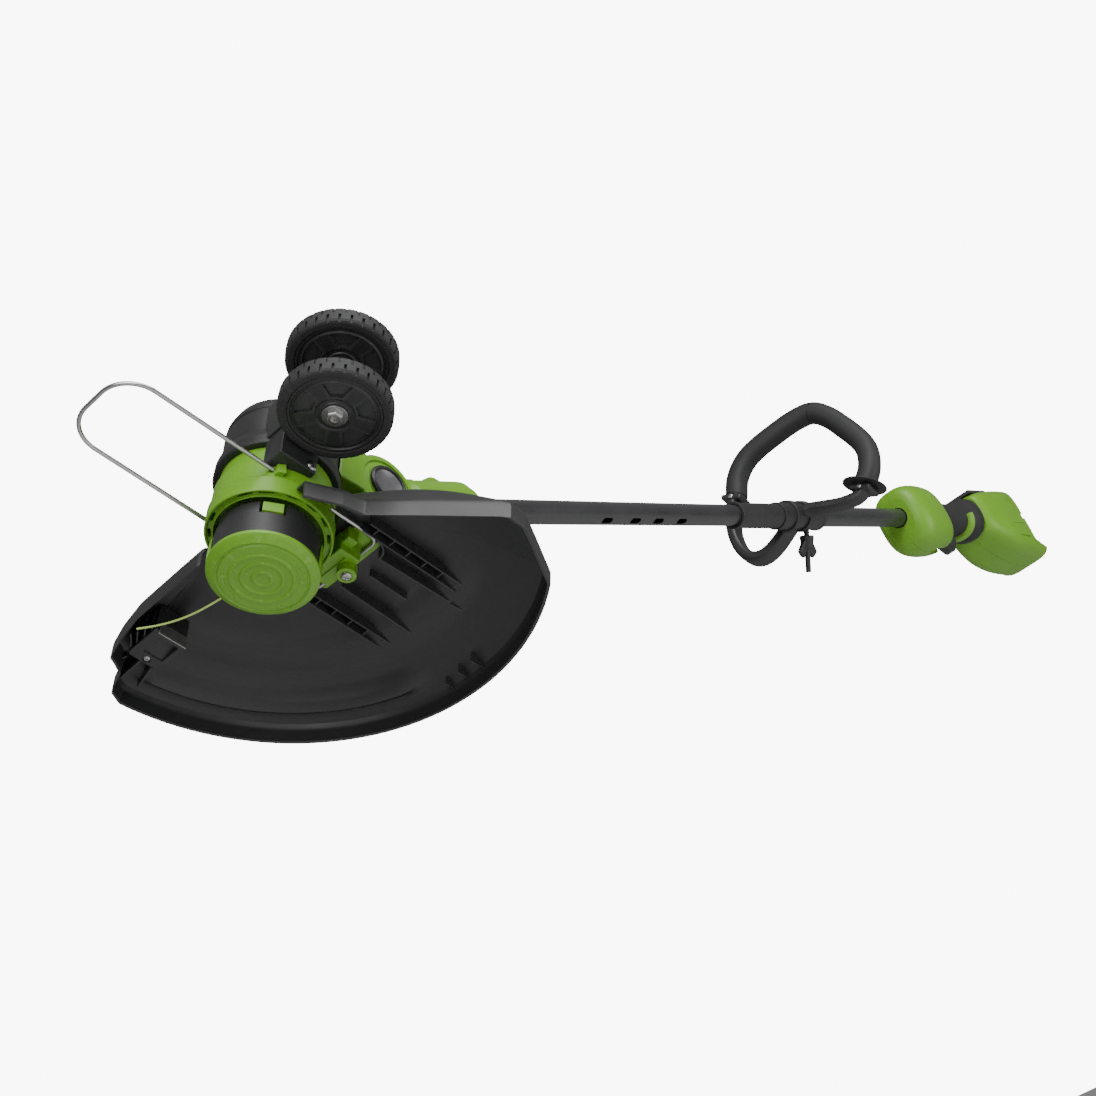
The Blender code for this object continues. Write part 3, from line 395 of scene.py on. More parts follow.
def filleted(profile, radius=0.0006, steps=3):
    """Round the corners of a closed (radius, height) outline, except those on the axis."""
    result = []
    count = len(profile)
    for k in range(count):
        here = Vector(profile[k])
        before, after = Vector(profile[k - 1]), Vector(profile[(k + 1) % count])
        to_before, to_after = before - here, after - here
        if here.x < 1e-7 or to_before.length < 1e-7 or to_after.length < 1e-7:
            result.append(tuple(here))
            continue
        turn = to_before.angle(to_after)
        if turn > math.radians(172):
            result.append(tuple(here))
            continue
        reach = min(radius / math.tan(turn / 2), to_before.length * 0.45, to_after.length * 0.45)
        start, end = here + to_before.normalized() * reach, here + to_after.normalized() * reach
        for i in range(steps + 1):
            t = i / steps
            point = start * (1 - t) ** 2 + here * 2 * t * (1 - t) + end * t ** 2
            result.append((max(0.0, point.x), point.y))
    return result


def turned(profile, place, fillet=0.0006, segments=ROUND):
    return shape(lathe(filleted(profile, fillet), segments), place)


def disc(radius, low, high, segments=SMALL_ROUND):
    return lathe([(0, low), (radius, low), (radius, high), (0, high)], segments)


def ring(inner, outer, low, high, segments=ROUND):
    return lathe([(inner, low), (outer, low), (outer, high), (inner, high)], segments)


def box(low, high):
    bm = bmesh.new()
    size = Vector(high) - Vector(low)
    centre = (Vector(high) + Vector(low)) / 2
    bmesh.ops.create_cube(bm, size=1.0)
    bm.transform(Matrix.Translation(centre) @ Matrix.Diagonal((*size, 1)))
    return bm


def loft(sections):
    """Skin closed sections of equal point count and cap both ends."""
    bm = bmesh.new()
    rows = [[bm.verts.new(point) for point in section] for section in sections]
    count = len(rows[0])
    for first, second in zip(rows, rows[1:]):
        for i in range(count):
            j = (i + 1) % count
            bm.faces.new((first[i], first[j], second[j], second[i]))
    bm.faces.new(list(reversed(rows[0])))
    bm.faces.new(rows[-1])
    return bm


def prism(outline, low, high):
    return loft([[(x, y, low) for x, y in outline], [(x, y, high) for x, y in outline]])


def arc(centre, radius, start, end, steps):
    return [(centre[0] + radius * math.cos(math.radians(start + (end - start) * i / steps)),
             centre[1] + radius * math.sin(math.radians(start + (end - start) * i / steps)))
            for i in range(steps + 1)]


def oval(x, centre_y, centre_z, half_y, half_z, power=2.6, count=64):
    points = []
    for i in range(count):
        angle = 2 * math.pi * (i + 0.5) / count
        c, s = math.cos(angle), math.sin(angle)
        points.append((x, centre_y + half_y * math.copysign(abs(c) ** (2 / power), c),
                       centre_z + half_z * math.copysign(abs(s) ** (2 / power), s)))
    return points


def smooth_path(points, per_span=4):
    """A Catmull-Rom curve through given route points."""
    route = [Vector(p) for p in points]
    padded = [2 * route[0] - route[1]] + route + [2 * route[-1] - route[-2]]
    result = []
    for k in range(1, len(padded) - 2):
        p0, p1, p2, p3 = padded[k - 1:k + 3]
        for i in range(per_span):
            t = i / per_span
            result.append(0.5 * (2 * p1 + (p2 - p0) * t + (2 * p0 - 5 * p1 + 4 * p2 - p3) * t * t
                                 + (3 * p1 - p0 - 3 * p2 + p3) * t ** 3))
    return result + [route[-1]]


def smooth_rows(rows, per_span=5):
    """Blend rows of numbers smoothly, as smooth_path does for points."""
    rows = [list(map(float, row)) for row in rows]
    padded = [[2 * a - b for a, b in zip(rows[0], rows[1])]] + rows
    padded.append([2 * a - b for a, b in zip(rows[-1], rows[-2])])
    result = []
    for k in range(1, len(padded) - 2):
        for i in range(per_span):
            t = i / per_span
            result.append([0.5 * (2 * b + (c - a) * t + (2 * a - 5 * b + 4 * c - d) * t * t
                                  + (3 * b - a - 3 * c + d) * t ** 3)
                           for a, b, c, d in zip(*padded[k - 1:k + 3])])
    return result + [rows[-1]]


def sweep(path, half_wide, half_thick, across, power=2.6, count=32):
    """Sweep a superellipse along a path; across is the direction of its width."""
    wide = Vector(across).normalized()
    sections = []
    for i, point in enumerate(path):
        ahead = path[min(i + 1, len(path) - 1)] - path[max(i - 1, 0)]
        thick = ahead.normalized().cross(wide).normalized()
        section = []
        for k in range(count):
            angle = 2 * math.pi * (k + 0.5) / count
            c, s = math.cos(angle), math.sin(angle)
            section.append(point + (wide * half_wide * math.copysign(abs(c) ** (2 / power), c)
                                    + thick * half_thick * math.copysign(abs(s) ** (2 / power), s)))
        sections.append(section)
    return loft(sections)


def rod(path, radius, sides=16):
    """A round bar along a path that may turn any way, with slightly rounded ends."""
    normal = Vector((0, 0, 1))
    sections = []
    last = len(path) - 1
    for i, point in enumerate(path):
        ahead = (path[min(i + 1, last)] - path[max(i - 1, 0)]).normalized()
        if abs(ahead.dot(normal)) > 0.95:
            normal = Vector((1, 0, 0))
        normal = (normal - ahead * normal.dot(ahead)).normalized()
        side = ahead.cross(normal)
        spots = [(0.0, radius)]
        if i == 0:
            spots = [(0.0, radius * 0.7), (radius * 0.35, radius)]
        if i == last:
            spots = [(-radius * 0.35, radius), (0.0, radius * 0.7)]
        for shift, r in spots:
            sections.append([point + ahead * shift + r * (math.cos(2 * math.pi * k / sides) * normal
                                                          + math.sin(2 * math.pi * k / sides) * side)
                             for k in range(sides)])
    return loft(sections)


def far_side(side):
    """Everything beyond a clamshell half's joint, to be cut away from it."""
    reach = 2.0
    low, high = (-reach, GAP / 2) if side > 0 else (-GAP / 2, reach)
    return box((-reach, low, -reach), (reach, high, reach))


def on_seam(edge):
    return all(abs(v.co.y) < GAP for v in edge.verts)


def halves(make, cuts, names, bevel=0.0005):
    """Both shells of a clamshell, with a softened seam where they meet on the plane y = 0."""
    for name, side in names:
        half = shape(make[0](), make[1])
        cut(half, *[shape(bm, place) for bm, place in cuts()], shape(far_side(side)))
        soften(half, bevel, 30, 2, on_seam)
        show(half, name + "_shell", name)


def cross_screw(name, stands_for, place, radius, head_radius, length, head_height=0.002):
    """A pan-head screw along -z of its place with a cross recess."""
    made = turned([(0, -length), (radius, -length), (radius, 0), (head_radius, 0),
                   (head_radius, head_height * 0.45), (head_radius * 0.72, head_height),
                   (0, head_height * 1.05)], place, 0.0004, 32)
    reach, slot = head_radius * 0.62, head_radius * 0.13
    arms = []
    for turn in (0, math.pi / 2):
        arms.append(shape(box((-reach, -slot, head_height * 0.4), (reach, slot, head_height * 2)),
                          place @ Matrix.Rotation(turn + 0.4, 4, 'Z')))
    cut(made, *arms)
    return show(made, name, stands_for, sharp=25)


def small_screw(name, seat, place, radius, flat_radius, side, recess):
    """A low screw head with a cross recess, for a screw that has no node of its own."""
    made = turned([(0, -0.001), (radius, -0.001), (radius, side), (flat_radius, side + 0.0006),
                   (0, side + 0.0007)], place, 0.0003, 32)
    cut(made, shape(box((-0.0018, -0.0004, recess), (0.0018, 0.0004, 0.003)), place),
        shape(box((-0.0004, -0.0018, recess), (0.0004, 0.0018, 0.003)), place))
    show(made, name, (), "bright_steel", BODY_OF[seat])


# ---------------------------------------------------------------- camera, light and floor
def build_stage():
    ambient_light, backdrop_light = 0.24, 9.0
    floor_drop, floor_half, floor_depth = 0.85, 6, 0.02
    camera = bpy.data.objects.new("camera", bpy.data.cameras.new("camera"))
    bpy.context.scene.collection.objects.link(camera)
    camera.data.sensor_width = 36.0
    camera.data.lens = 65.68
    camera.data.clip_start, camera.data.clip_end = 0.05, 50.0
    stand = Vector((-2.4898, -0.9611, -0.6129))
    aim = Vector((0.8119875, 0.5014467, 0.2987097)).normalized()
    lean = Vector((0.0052316, -0.5180063, 0.8553608))
    right = aim.cross(lean).normalized()
    up, back = right.cross(aim), -aim
    camera.rotation_mode = 'QUATERNION'
    camera.location = stand
    camera.rotation_quaternion = Matrix((right, up, back)).transposed().to_quaternion()
    bpy.context.scene.camera = camera
    middle = (cad_box[0] + cad_box[1]) / 2

    def lamp(name, towards, distance, size, power, size_y=None):
        data = bpy.data.lights.new(name, 'AREA')
        data.shape = 'RECTANGLE'
        data.size, data.size_y = size, size_y or size
        data.energy = power
        made = bpy.data.objects.new(name, data)
        bpy.context.scene.collection.objects.link(made)
        way = towards.normalized()
        made.location = middle + way * distance
        made.rotation_mode = 'QUATERNION'
        made.rotation_quaternion = (-way).to_track_quat('-Z', 'Y')

    lamp("top_light", up * 1.0 + back * 0.35, 2.2, 2.2, 60, 1.4)
    lamp("front_light", back * 1.0 + up * 0.55 - right * 0.45, 2.6, 1.6, 34)
    lamp("side_light", right * 1.0 + up * 0.35 + back * 0.25, 2.4, 1.2, 18)
    lamp("low_light", -up * 0.9 + back * 0.8 + right * 0.1, 2.6, 1.6, 12)

    world = bpy.data.worlds.new("studio")
    bpy.context.scene.world = world
    world.use_nodes = True
    tree = world.node_tree
    ambient = tree.nodes["Background"]
    ambient.inputs["Color"].default_value = (1, 1, 1, 1)
    ambient.inputs["Strength"].default_value = ambient_light
    seen = tree.nodes.new("ShaderNodeBackground")
    seen.inputs["Color"].default_value = (1, 1, 1, 1)
    seen.inputs["Strength"].default_value = backdrop_light
    ray = tree.nodes.new("ShaderNodeLightPath")
    pick = tree.nodes.new("ShaderNodeMixShader")
    tree.links.new(ray.outputs["Is Camera Ray"], pick.inputs["Fac"])
    tree.links.new(ambient.outputs["Background"], pick.inputs[1])
    tree.links.new(seen.outputs["Background"], pick.inputs[2])
    tree.links.new(pick.outputs["Shader"], tree.nodes["World Output"].inputs["Surface"])

    floor_z = cad_box[0].z - floor_drop
    floor = shape(box((-floor_half, -floor_half, floor_z - floor_depth), (floor_half, floor_half, floor_z)))
    floor.name = "floor"
    pale = bpy.data.materials.new("pale_floor")
    pale.use_nodes = True
    pale.node_tree.nodes["Principled BSDF"].inputs["Base Color"].default_value = (0.86, 0.86, 0.86, 1)
    pale.node_tree.nodes["Principled BSDF"].inputs["Roughness"].default_value = 0.85
    floor.data.materials.append(pale)


# ---------------------------------------------------------------- cutting line (a free cord)
def build_line():
    route = [(0, CUP_R + 0.002, LINE_W), (0.0005, 0.052, LINE_W), (-0.0005, 0.06, LINE_W),
             (-0.0025, 0.073, LINE_W), (-0.006, 0.089, LINE_W), (-0.0115, 0.105, LINE_W),
             (-0.019, 0.12, LINE_W), (-0.028, 0.134, LINE_W)]
    points = [HEAD @ p for p in smooth_path(route, 5)]
    curve = bpy.data.curves.new("cutting_line", 'CURVE')
    curve.dimensions = '3D'
    curve.bevel_depth = LINE_R
    curve.bevel_resolution = 4
    curve.use_fill_caps = True
    spline = curve.splines.new('POLY')
    spline.points.add(len(points) - 1)
    for slot, point in zip(spline.points, points):
        slot.co = (*point, 1)
    spline.use_smooth = True
    line = bpy.data.objects.new("cutting_line", curve)
    bpy.context.scene.collection.objects.link(line)
    curve.materials.append(MATERIALS["cutting_line"])
    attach(line, BODY_OF["trimmer_line"])
    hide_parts("trimmer_line")
    length = sum((b - a).length for a, b in zip(points, points[1:]))
    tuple(points[0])


# ---------------------------------------------------------------- spool
def ridge(radius, foot, height, half=0.0012):
    """Profile points of a rounded ring that stands out of the cap's face."""
    return [(radius - half * 1.7, foot), (radius - half * 0.7, foot - height),
            (radius + half * 0.7, foot - height),
            (radius + half * 1.7, foot)]


def build_spool():
    face = -CAP_DEPTH + 0.0013
    profile = [(0, face + 0.0002), (0.0045, face + 0.0002)]
    for radius in (0.0072, 0.0168, 0.0255):
        profile += ridge(radius, face + 0.0003 + 0.00005 * radius / 0.01, 0.001)
    profile += [(0.0352, face + 0.0007), (0.036, face + 0.0019), (0.0374, face + 0.0019),
                (0.0384, face + 0.001),
                (CAP_R - 0.0022, face + 0.004), (CAP_R, face + 0.0058), (CAP_R, 0.0014),
                (CUP_R - 0.0028, 0.0014), (CUP_R - 0.0028, 0.0034), (CUP_R - 0.0045, 0.0034),
                (CUP_R - 0.0045, -0.001), (0.0085, -0.004), (0.0085, 0.003), (0.006, 0.003),
                (0.006, -0.0045), (0, -0.0045)]
    cap = turned(profile, HEAD, 0.0005, 128)
    marks = []
    for start in (-62, 118):
        outer = arc((0, 0), 0.0322, start - 21, start + 21, 14)
        inner = arc((0, 0), 0.0306, start + 21, start - 21, 14)
        marks.append(shape(prism(outer + inner, face - 0.0001, face + 0.001), HEAD))
        c, s = math.cos(math.radians(start + 21)), math.sin(math.radians(start + 21))
        tip = [(0.034 * c, 0.034 * s), (0.0288 * c, 0.0288 * s),
               (0.0316 * math.cos(math.radians(start + 29)), 0.0316 * math.sin(math.radians(start + 29)))]
        marks.append(shape(prism(tip, face - 0.0001, face + 0.001), HEAD))
    for angle in (26, 206):
        turn = spun(HEAD, angle)
        marks.append(shape(box((0.0298, -0.0005, face - 0.0001), (0.0338, 0.0005, face + 0.001)), turn))
    latches = []
    for angle in (-40, 140):
        turn = spun(HEAD, angle)
        arm = []
        for w, out, half in ((-0.001, 0.0022, 0.0085), (0.006, 0.0026, 0.008), (0.016, 0.0024, 0.007),
                             (0.027, 0.0018, 0.0062), (0.03, 0.0012, 0.0055)):
            lean = math.degrees(half / CUP_R)
            outer = arc((0, 0), CUP_R + out, -lean, lean, 8)
            inner = arc((0, 0), CUP_R + 0.0003, lean, -lean, 8)
            arm.append([(x, y, w) for x, y in outer + inner])
        latches.append(soften(shape(loft(arm), turn), 0.0004, 50))
    gather(cap, *latches, *[soften(m, 0.0002, 50, 1) for m in marks])
    show(cap, "spool_cap_face", "spool_cap", sharp=40)

    low = 0.0018
    cup = turned([(CUP_R - 0.0025, low), (CUP_R, low), (CUP_R, CUP_TOP - 0.0095),
                  (CUP_R - 0.0012, CUP_TOP - 0.008),
                  (CUP_R - 0.0012, CUP_TOP), (0.0043, CUP_TOP), (0.0043, CUP_TOP - 0.0025),
                  (CUP_R - 0.004, CUP_TOP - 0.0025), (CUP_R - 0.003, CUP_TOP - 0.008)], HEAD, 0.0005, 128)
    eyelet = moved(HEAD, 0, CUP_R, LINE_W) @ Matrix.Rotation(-math.pi / 2, 4, 'X')
    tab_half = 0.0085
    cut(cup, shape(disc(0.0032, -0.006, 0.006), eyelet),
        shape(box((-CUP_R - 0.005, -tab_half - 0.0022, CUP_TOP - 0.014),
                  (-CUP_R + 0.01, tab_half + 0.0022, CUP_TOP + 0.01)),
              TAB_FRAME))
    show(cup, "spool_cup_body", "spool_cup")
    tab = soften(shape(box((-CUP_R - 0.0012, -tab_half, CUP_TOP - 0.0132),
                           (-CUP_R + 0.004, tab_half, CUP_TOP - 0.0031)),
                       TAB_FRAME), 0.0009, 50, 3)
    foot = soften(shape(box((-CUP_R + 0.001, -tab_half + 0.002, CUP_TOP - 0.0075),
                            (-CUP_R + 0.01, tab_half - 0.002, CUP_TOP - 0.0031)),
                        TAB_FRAME), 0.0006, 50, 2)
    show(gather(tab, foot), "release_tab_key", "release_tab")
    show(turned([(LINE_R + GAP, -0.003), (0.0028, -0.003), (0.0028, 0.0004), (0.004, 0.0004), (0.004, 0.0016),
                 (LINE_R + GAP, 0.0016)], eyelet, 0.0004, 32), "line_eyelet_bush", "line_eyelet")
    reel_low, reel_high, flange = 0.0055, 0.031, 0.0016
    show(turned([(0.0046, reel_low), (REEL_R, reel_low), (REEL_R, reel_low + flange),
                 (REEL_HUB_R, reel_low + flange),
                 (REEL_HUB_R, reel_high - flange), (REEL_R, reel_high - flange), (REEL_R, reel_high),
                 (0.0046, reel_high)], HEAD, 0.0004), "line_reel_body", "line_reel")
    winding = [(0.0143, reel_low + flange + GAP)]
    turns = 12
    pitch = (reel_high - reel_low - 2 * flange - 2 * GAP) / turns
    for k in range(turns):
        base = reel_low + flange + GAP + k * pitch
        winding += [(0.0325, base + pitch * 0.05), (0.0335, base + pitch * 0.5),
                    (0.0325, base + pitch * 0.95)]
    winding += [(0.0143, reel_high - flange - GAP)]
    show(shape(lathe(winding, 64), HEAD), "line_winding_turns", "line_winding")


# ---------------------------------------------------------------- head housing
def build_housing():
    inner = HOUSING_R - HOUSING_WALL

    def lower_shell():
        return lathe(filleted([
            (CUP_R + 0.0012, RING_BOTTOM), (CUP_R + 0.0022, RING_BOTTOM),
            (CUP_R + 0.0026, RING_BOTTOM + 0.0024),
            (RING_R - 0.0026, RING_BOTTOM + 0.0024), (RING_R - 0.002, RING_BOTTOM),
            (RING_R - 0.0006, RING_BOTTOM),
            (RING_R, RING_BOTTOM + 0.0012), (RING_R, RING_TOP - 0.0028), (RING_R - 0.0014, RING_TOP - 0.0006),
            (HOUSING_R + 0.0007, RING_TOP), (HOUSING_R + 0.0004, 0.08), (HOUSING_R - 0.0022, 0.0835),
            (HOUSING_R - 0.003, HOUSING_TOP), (inner - 0.002, HOUSING_TOP), (inner - 0.002, RING_TOP + 0.005),
            (0.013, RING_TOP + 0.005), (0.013, RING_TOP), (CUP_R + 0.0012, RING_TOP)], 0.0007), 128)

    def lower_cuts():
        for angle in (-152, -131, -106, -84, -62, -40, 30, 52, 74, 96, 118, 140, 162):
            turn = spun(HEAD, angle)
            half = 0.0068 if angle in (-152, -131) else 0.0052
            outline = [(CUP_R + 0.0032, -half + 0.001), (CUP_R + 0.004, -half), (CUP_R + 0.0052, -half),
                       (CUP_R + 0.006, -half + 0.001), (CUP_R + 0.006, half - 0.001), (CUP_R + 0.0052, half),
                       (CUP_R + 0.004, half), (CUP_R + 0.0032, half - 0.001)]
            yield prism(outline, RING_BOTTOM - 0.002, RING_BOTTOM + 0.012), turn
        clear = WIRE_R + 0.0006
        for side in (-1, 1):
            yield box((-0.07, side * WIRE_HALF_WIDTH - clear, WIRE_W - clear),
                      (0.06, side * WIRE_HALF_WIDTH + clear, WIRE_W + clear)), HEAD

    halves((lower_shell, HEAD), lower_cuts, (("head_housing_left", -1), ("head_housing_right", 1)))

    def upper_shell():
        r = HOUSING_R
        return lathe(filleted([
            (COVER_FLARE_R - 0.0012, HOUSING_TOP + GAP), (COVER_FLARE_R, HOUSING_TOP + 0.0016),
            (COVER_FLARE_R - 0.0003, HOUSING_TOP + 0.0105), (COVER_FLARE_R - 0.0012, HOUSING_TOP + 0.0125),
            (r + 0.0004, HOUSING_TOP + 0.0195), (r - 0.001, HOUSING_TOP + 0.02), (r - 0.001, 0.1455),
            (r - 0.0022, 0.1462), (r - 0.0022, 0.1478), (r - 0.001, 0.1485), (r - 0.0014, 0.153),
            (TOP_CAP_R + 0.0026, COVER_TOP - 0.001), (TOP_CAP_R + 0.0014, COVER_TOP),
            (TOP_CAP_R + GAP, COVER_TOP),
            (TOP_CAP_R + GAP, COVER_TOP - 0.004), (TOP_CAP_R - 0.004, COVER_TOP - 0.004),
            (inner - 0.002, COVER_TOP - 0.014), (inner - 0.002, HOUSING_TOP + GAP)], 0.0006), 128)

    halves((upper_shell, HEAD), lambda: [], (("motor_cover_left", -1), ("motor_cover_right", 1)))
    cap = turned([(0, COVER_TOP - 0.0037), (TOP_CAP_R, COVER_TOP - 0.0037), (TOP_CAP_R, COVER_TOP),
                  (TOP_CAP_R - 0.004, COVER_TOP + 0.0038), (0.02, COVER_TOP + 0.005),
                  (0.019, COVER_TOP + 0.004),
                  (0.018, COVER_TOP + 0.005), (0, COVER_TOP + 0.0055)], HEAD, 0.0007, 128)
    show(cap, "motor_cap", "motor_top_cap")

    # Raised guide for the wire's leg, and the fin beside the wheel bracket.
    guide = soften(shape(box((-0.015, -0.0492, 0.06), (0.01, -0.0425, 0.063)), HEAD), 0.0006, 40)
    fin = soften(shape(loft([[(-0.03, -0.04, 0.06), (-0.024, -0.04, 0.06), (-0.024, -0.05, 0.06),
                              (-0.03, -0.0462, 0.06)],
                             [(-0.03, -0.038, 0.082), (-0.0262, -0.038, 0.082), (-0.0262, -0.048, 0.082),
                              (-0.03, -0.044, 0.082)],
                             [(-0.029, -0.038, 0.097), (-0.0276, -0.038, 0.097), (-0.0276, -0.0462, 0.097),
                              (-0.029, -0.044, 0.097)]]), HEAD), 0.0005, 40)
    show(gather(guide, fin), "housing_ribs", (), "green_plastic", BODY_OF["head_housing_left"])


# ---------------------------------------------------------------- tilt joint and neck
def build_neck():
    clear = GAP * 2
    core = [(0, HOUSING_TOP), (COVER_FLARE_R + clear, HOUSING_TOP),
            (COVER_FLARE_R + clear, HOUSING_TOP + 0.013),
            (HOUSING_R + clear, HOUSING_TOP + 0.022), (HOUSING_R + clear, COVER_TOP - 0.009),
            (TOP_CAP_R + 0.003, COVER_TOP + clear), (0, COVER_TOP + clear)]
    web_u, web_half = 0.034, 0.024
    for name, side in (("head_arm_left", 1), ("head_arm_right", -1)):
        low, high = sorted((side * EAR_INNER_Y, side * EAR_OUTER_Y))
        ear = arc((0, 0), EAR_R, -138, 138, 56) + [(web_u - PIVOT_U, web_half), (web_u - PIVOT_U, -web_half)]
        arm = shape(prism(ear, low, high), PIVOT_HEAD)
        tools = [shape(lathe(core), HEAD), shape(disc(PIVOT_PIN_R + GAP, -0.05, 0.05), PIVOT_HEAD)]
        if side > 0:
            tools.append(shape(disc(BUTTON_R + GAP, EAR_OUTER_Y - 0.0065, EAR_OUTER_Y + 0.01), PIVOT_HEAD))
            tools.append(turned([(BUTTON_RING_R + 0.0012, EAR_OUTER_Y - 0.0006),
                                 (0.0262, EAR_OUTER_Y - 0.0016),
                                 (0.0275, EAR_OUTER_Y + 0.004),
                                 (BUTTON_RING_R + 0.0012, EAR_OUTER_Y + 0.004)],
                                PIVOT_HEAD, 0.0004))
        outer_y = -side * EAR_OUTER_Y
        soften(arm, 0.0035, 40, 5, lambda e: all(abs(v.co.y - outer_y) < 1e-4 for v in e.verts))
        cut(arm, *tools)
        if side > 0:
            teeth = []
            for k in range(9):
                place = spun(PIVOT_HEAD, -46 + 11 * k)
                teeth.append(shape(box((EAR_R - 0.0012, -0.0011, EAR_INNER_Y - 0.002),
                                       (EAR_R + 0.003, 0.0011, EAR_INNER_Y + 0.0065)), place))
            cut(arm, *teeth)
        show(arm, name + "_ear", name)
    show(turned([(BUTTON_R + GAP, EAR_OUTER_Y + GAP), (BUTTON_RING_R, EAR_OUTER_Y + GAP),
                 (BUTTON_RING_R, EAR_OUTER_Y + 0.0026), (BUTTON_RING_R - 0.0016, EAR_OUTER_Y + 0.0042),
                 (BUTTON_R + 0.0012, EAR_OUTER_Y + 0.0042),
                 (BUTTON_R + GAP, EAR_OUTER_Y + 0.003)], PIVOT_HEAD,
                0.0006), "button_surround", "button_ring")
    dish = [(BUTTON_R * k / 9, EAR_OUTER_Y + 0.0002 + 0.0024 * (k / 9) ** 2) for k in range(9, -1, -1)]
    show(turned([(0, EAR_OUTER_Y - 0.0028), (BUTTON_R, EAR_OUTER_Y - 0.0028), (BUTTON_R, EAR_OUTER_Y + 0.002)]
                + dish, PIVOT_HEAD, 0.0003), "pivot_button_face", "pivot_button")

    half = EAR_INNER_Y - GAP
    front = PIVOT.x + 0.052
    plate = arc((0, 0), TONGUE_R, 48, 312, 56) + [(0.07, -0.0225), (0.07, 0.0225)]
    for name, side in (("neck_yoke_left", -1), ("neck_yoke_right", 1)):
        low, high = sorted((-side * GAP / 2, -side * half))
        tongue = shape(prism(plate, low, high), PIVOT_ROW)
        collar = turned([(0, front - 0.004), (0.017, front - 0.004), (0.0235, front),
                         (COLLAR_R - 0.0004, front + 0.009),
                         (COLLAR_R, front + 0.014), (COLLAR_R, COLLAR_REAR - 0.0135),
                         (0.0232, COLLAR_REAR - 0.0115),
                         (0.0228, COLLAR_REAR - 0.0025), (0.02, COLLAR_REAR),
                         (0, COLLAR_REAR)], ALONG_X, 0.0012)
        join(tongue, collar)
        cut(tongue, shape(disc(TUBE_R + GAP, TUBE_FRONT - GAP, 0), ALONG_X),
            shape(disc(PIVOT_PIN_R + GAP, -0.05, 0.05), PIVOT_ROW), shape(far_side(side)))
        soften(tongue, 0.0005, 30, 2, on_seam)
        show(tongue, name + "_shell", name)
    bump = [(-1.09, COLLAR_R + 0.0005), (-1.06, COLLAR_R + 0.0005), (-1.0605, COLLAR_R + 0.0022),
            (-1.066, COLLAR_R + 0.0052), (-1.07, COLLAR_R + 0.006), (-1.0745, COLLAR_R + 0.0056),
            (-1.083, COLLAR_R + 0.003)]
    show(soften(shape(prism(bump, -0.006, 0.006), ALONG_MINUS_Y), 0.0012, 35, 3), "collar_key", "collar_tab")
    rim = turned([(0, -EAR_OUTER_Y + 0.001), (PIVOT_PIN_R, -EAR_OUTER_Y + 0.001),
                  (PIVOT_PIN_R, EAR_OUTER_Y - 0.0115),
                  (0, EAR_OUTER_Y - 0.0115)], PIVOT_ROW, 0.0005, 48)
    show(rim, "pivot_pin_bar", "pivot_pin")


# ---------------------------------------------------------------- line guard
def guard_reach(angle):
    """Distance from the motor's axis to the guard's rim, for an angle in degrees from +u towards +v."""
    corners = [(-105.0, 0.074), (-84.0, 0.0855), (-73.0, 0.093), (-56.5, 0.2), (-52.5, 0.2105),
               (-47.0, 0.215), (-36.0, GUARD_R), (85.0, GUARD_R), (88.5, 0.222), (90.5, 0.198),
               (93.5, 0.1915), (96.0, 0.188), (99.0, 0.166), (103.0, 0.1375), (124.0, 0.0585)]
    direction = (math.cos(math.radians(angle)), math.sin(math.radians(angle)))
    for (a0, r0), (a1, r1) in zip(corners, corners[1:]):
        if a0 <= angle <= a1:
            if r0 == r1:
                return r0
            x0, y0 = r0 * math.cos(math.radians(a0)), r0 * math.sin(math.radians(a0))
            x1, y1 = r1 * math.cos(math.radians(a1)), r1 * math.sin(math.radians(a1))
            across = direction[0] * (y1 - y0) - direction[1] * (x1 - x0)
            return (x0 * (y1 - y0) - y0 * (x1 - x0)) / across
    return GUARD_R


def guard_height(edge_distance):
    t = min(1.0, max(0.0, edge_distance / GUARD_SLOPE_LENGTH))
    shoulder = GUARD_RIM_W + GUARD_WALL_HEIGHT
    return shoulder + (GUARD_DECK_W - shoulder) * math.sin(t * math.pi / 2)


def step_up(x, low, high):
    t = min(1.0, max(0.0, (x - low) / (high - low)))
    return t * t * (3 - 2 * t)


def guard_relief(radius, angle):
    """How far the pressed shapes under the deck hang below its plain underside."""
    window = step_up(angle, 10, 19) * (1 - step_up(angle, 80, 87))
    hump = step_up(radius, 0.198, 0.203) * (1 - step_up(radius, 0.211, 0.216))
    shelf_window = step_up(angle, -30, -18) * (1 - step_up(angle, 82, 90))
    shelf = step_up(radius, 0.146, 0.153) * (1 - step_up(radius, 0.168, 0.182))
    return 0.0062 * hump * window + 0.003 * shelf * shelf_window


def guard_under(u, v):
    radius, angle = math.hypot(u, v), math.degrees(math.atan2(v, u))
    return guard_height(guard_reach(angle) - radius) - GUARD_SHEET


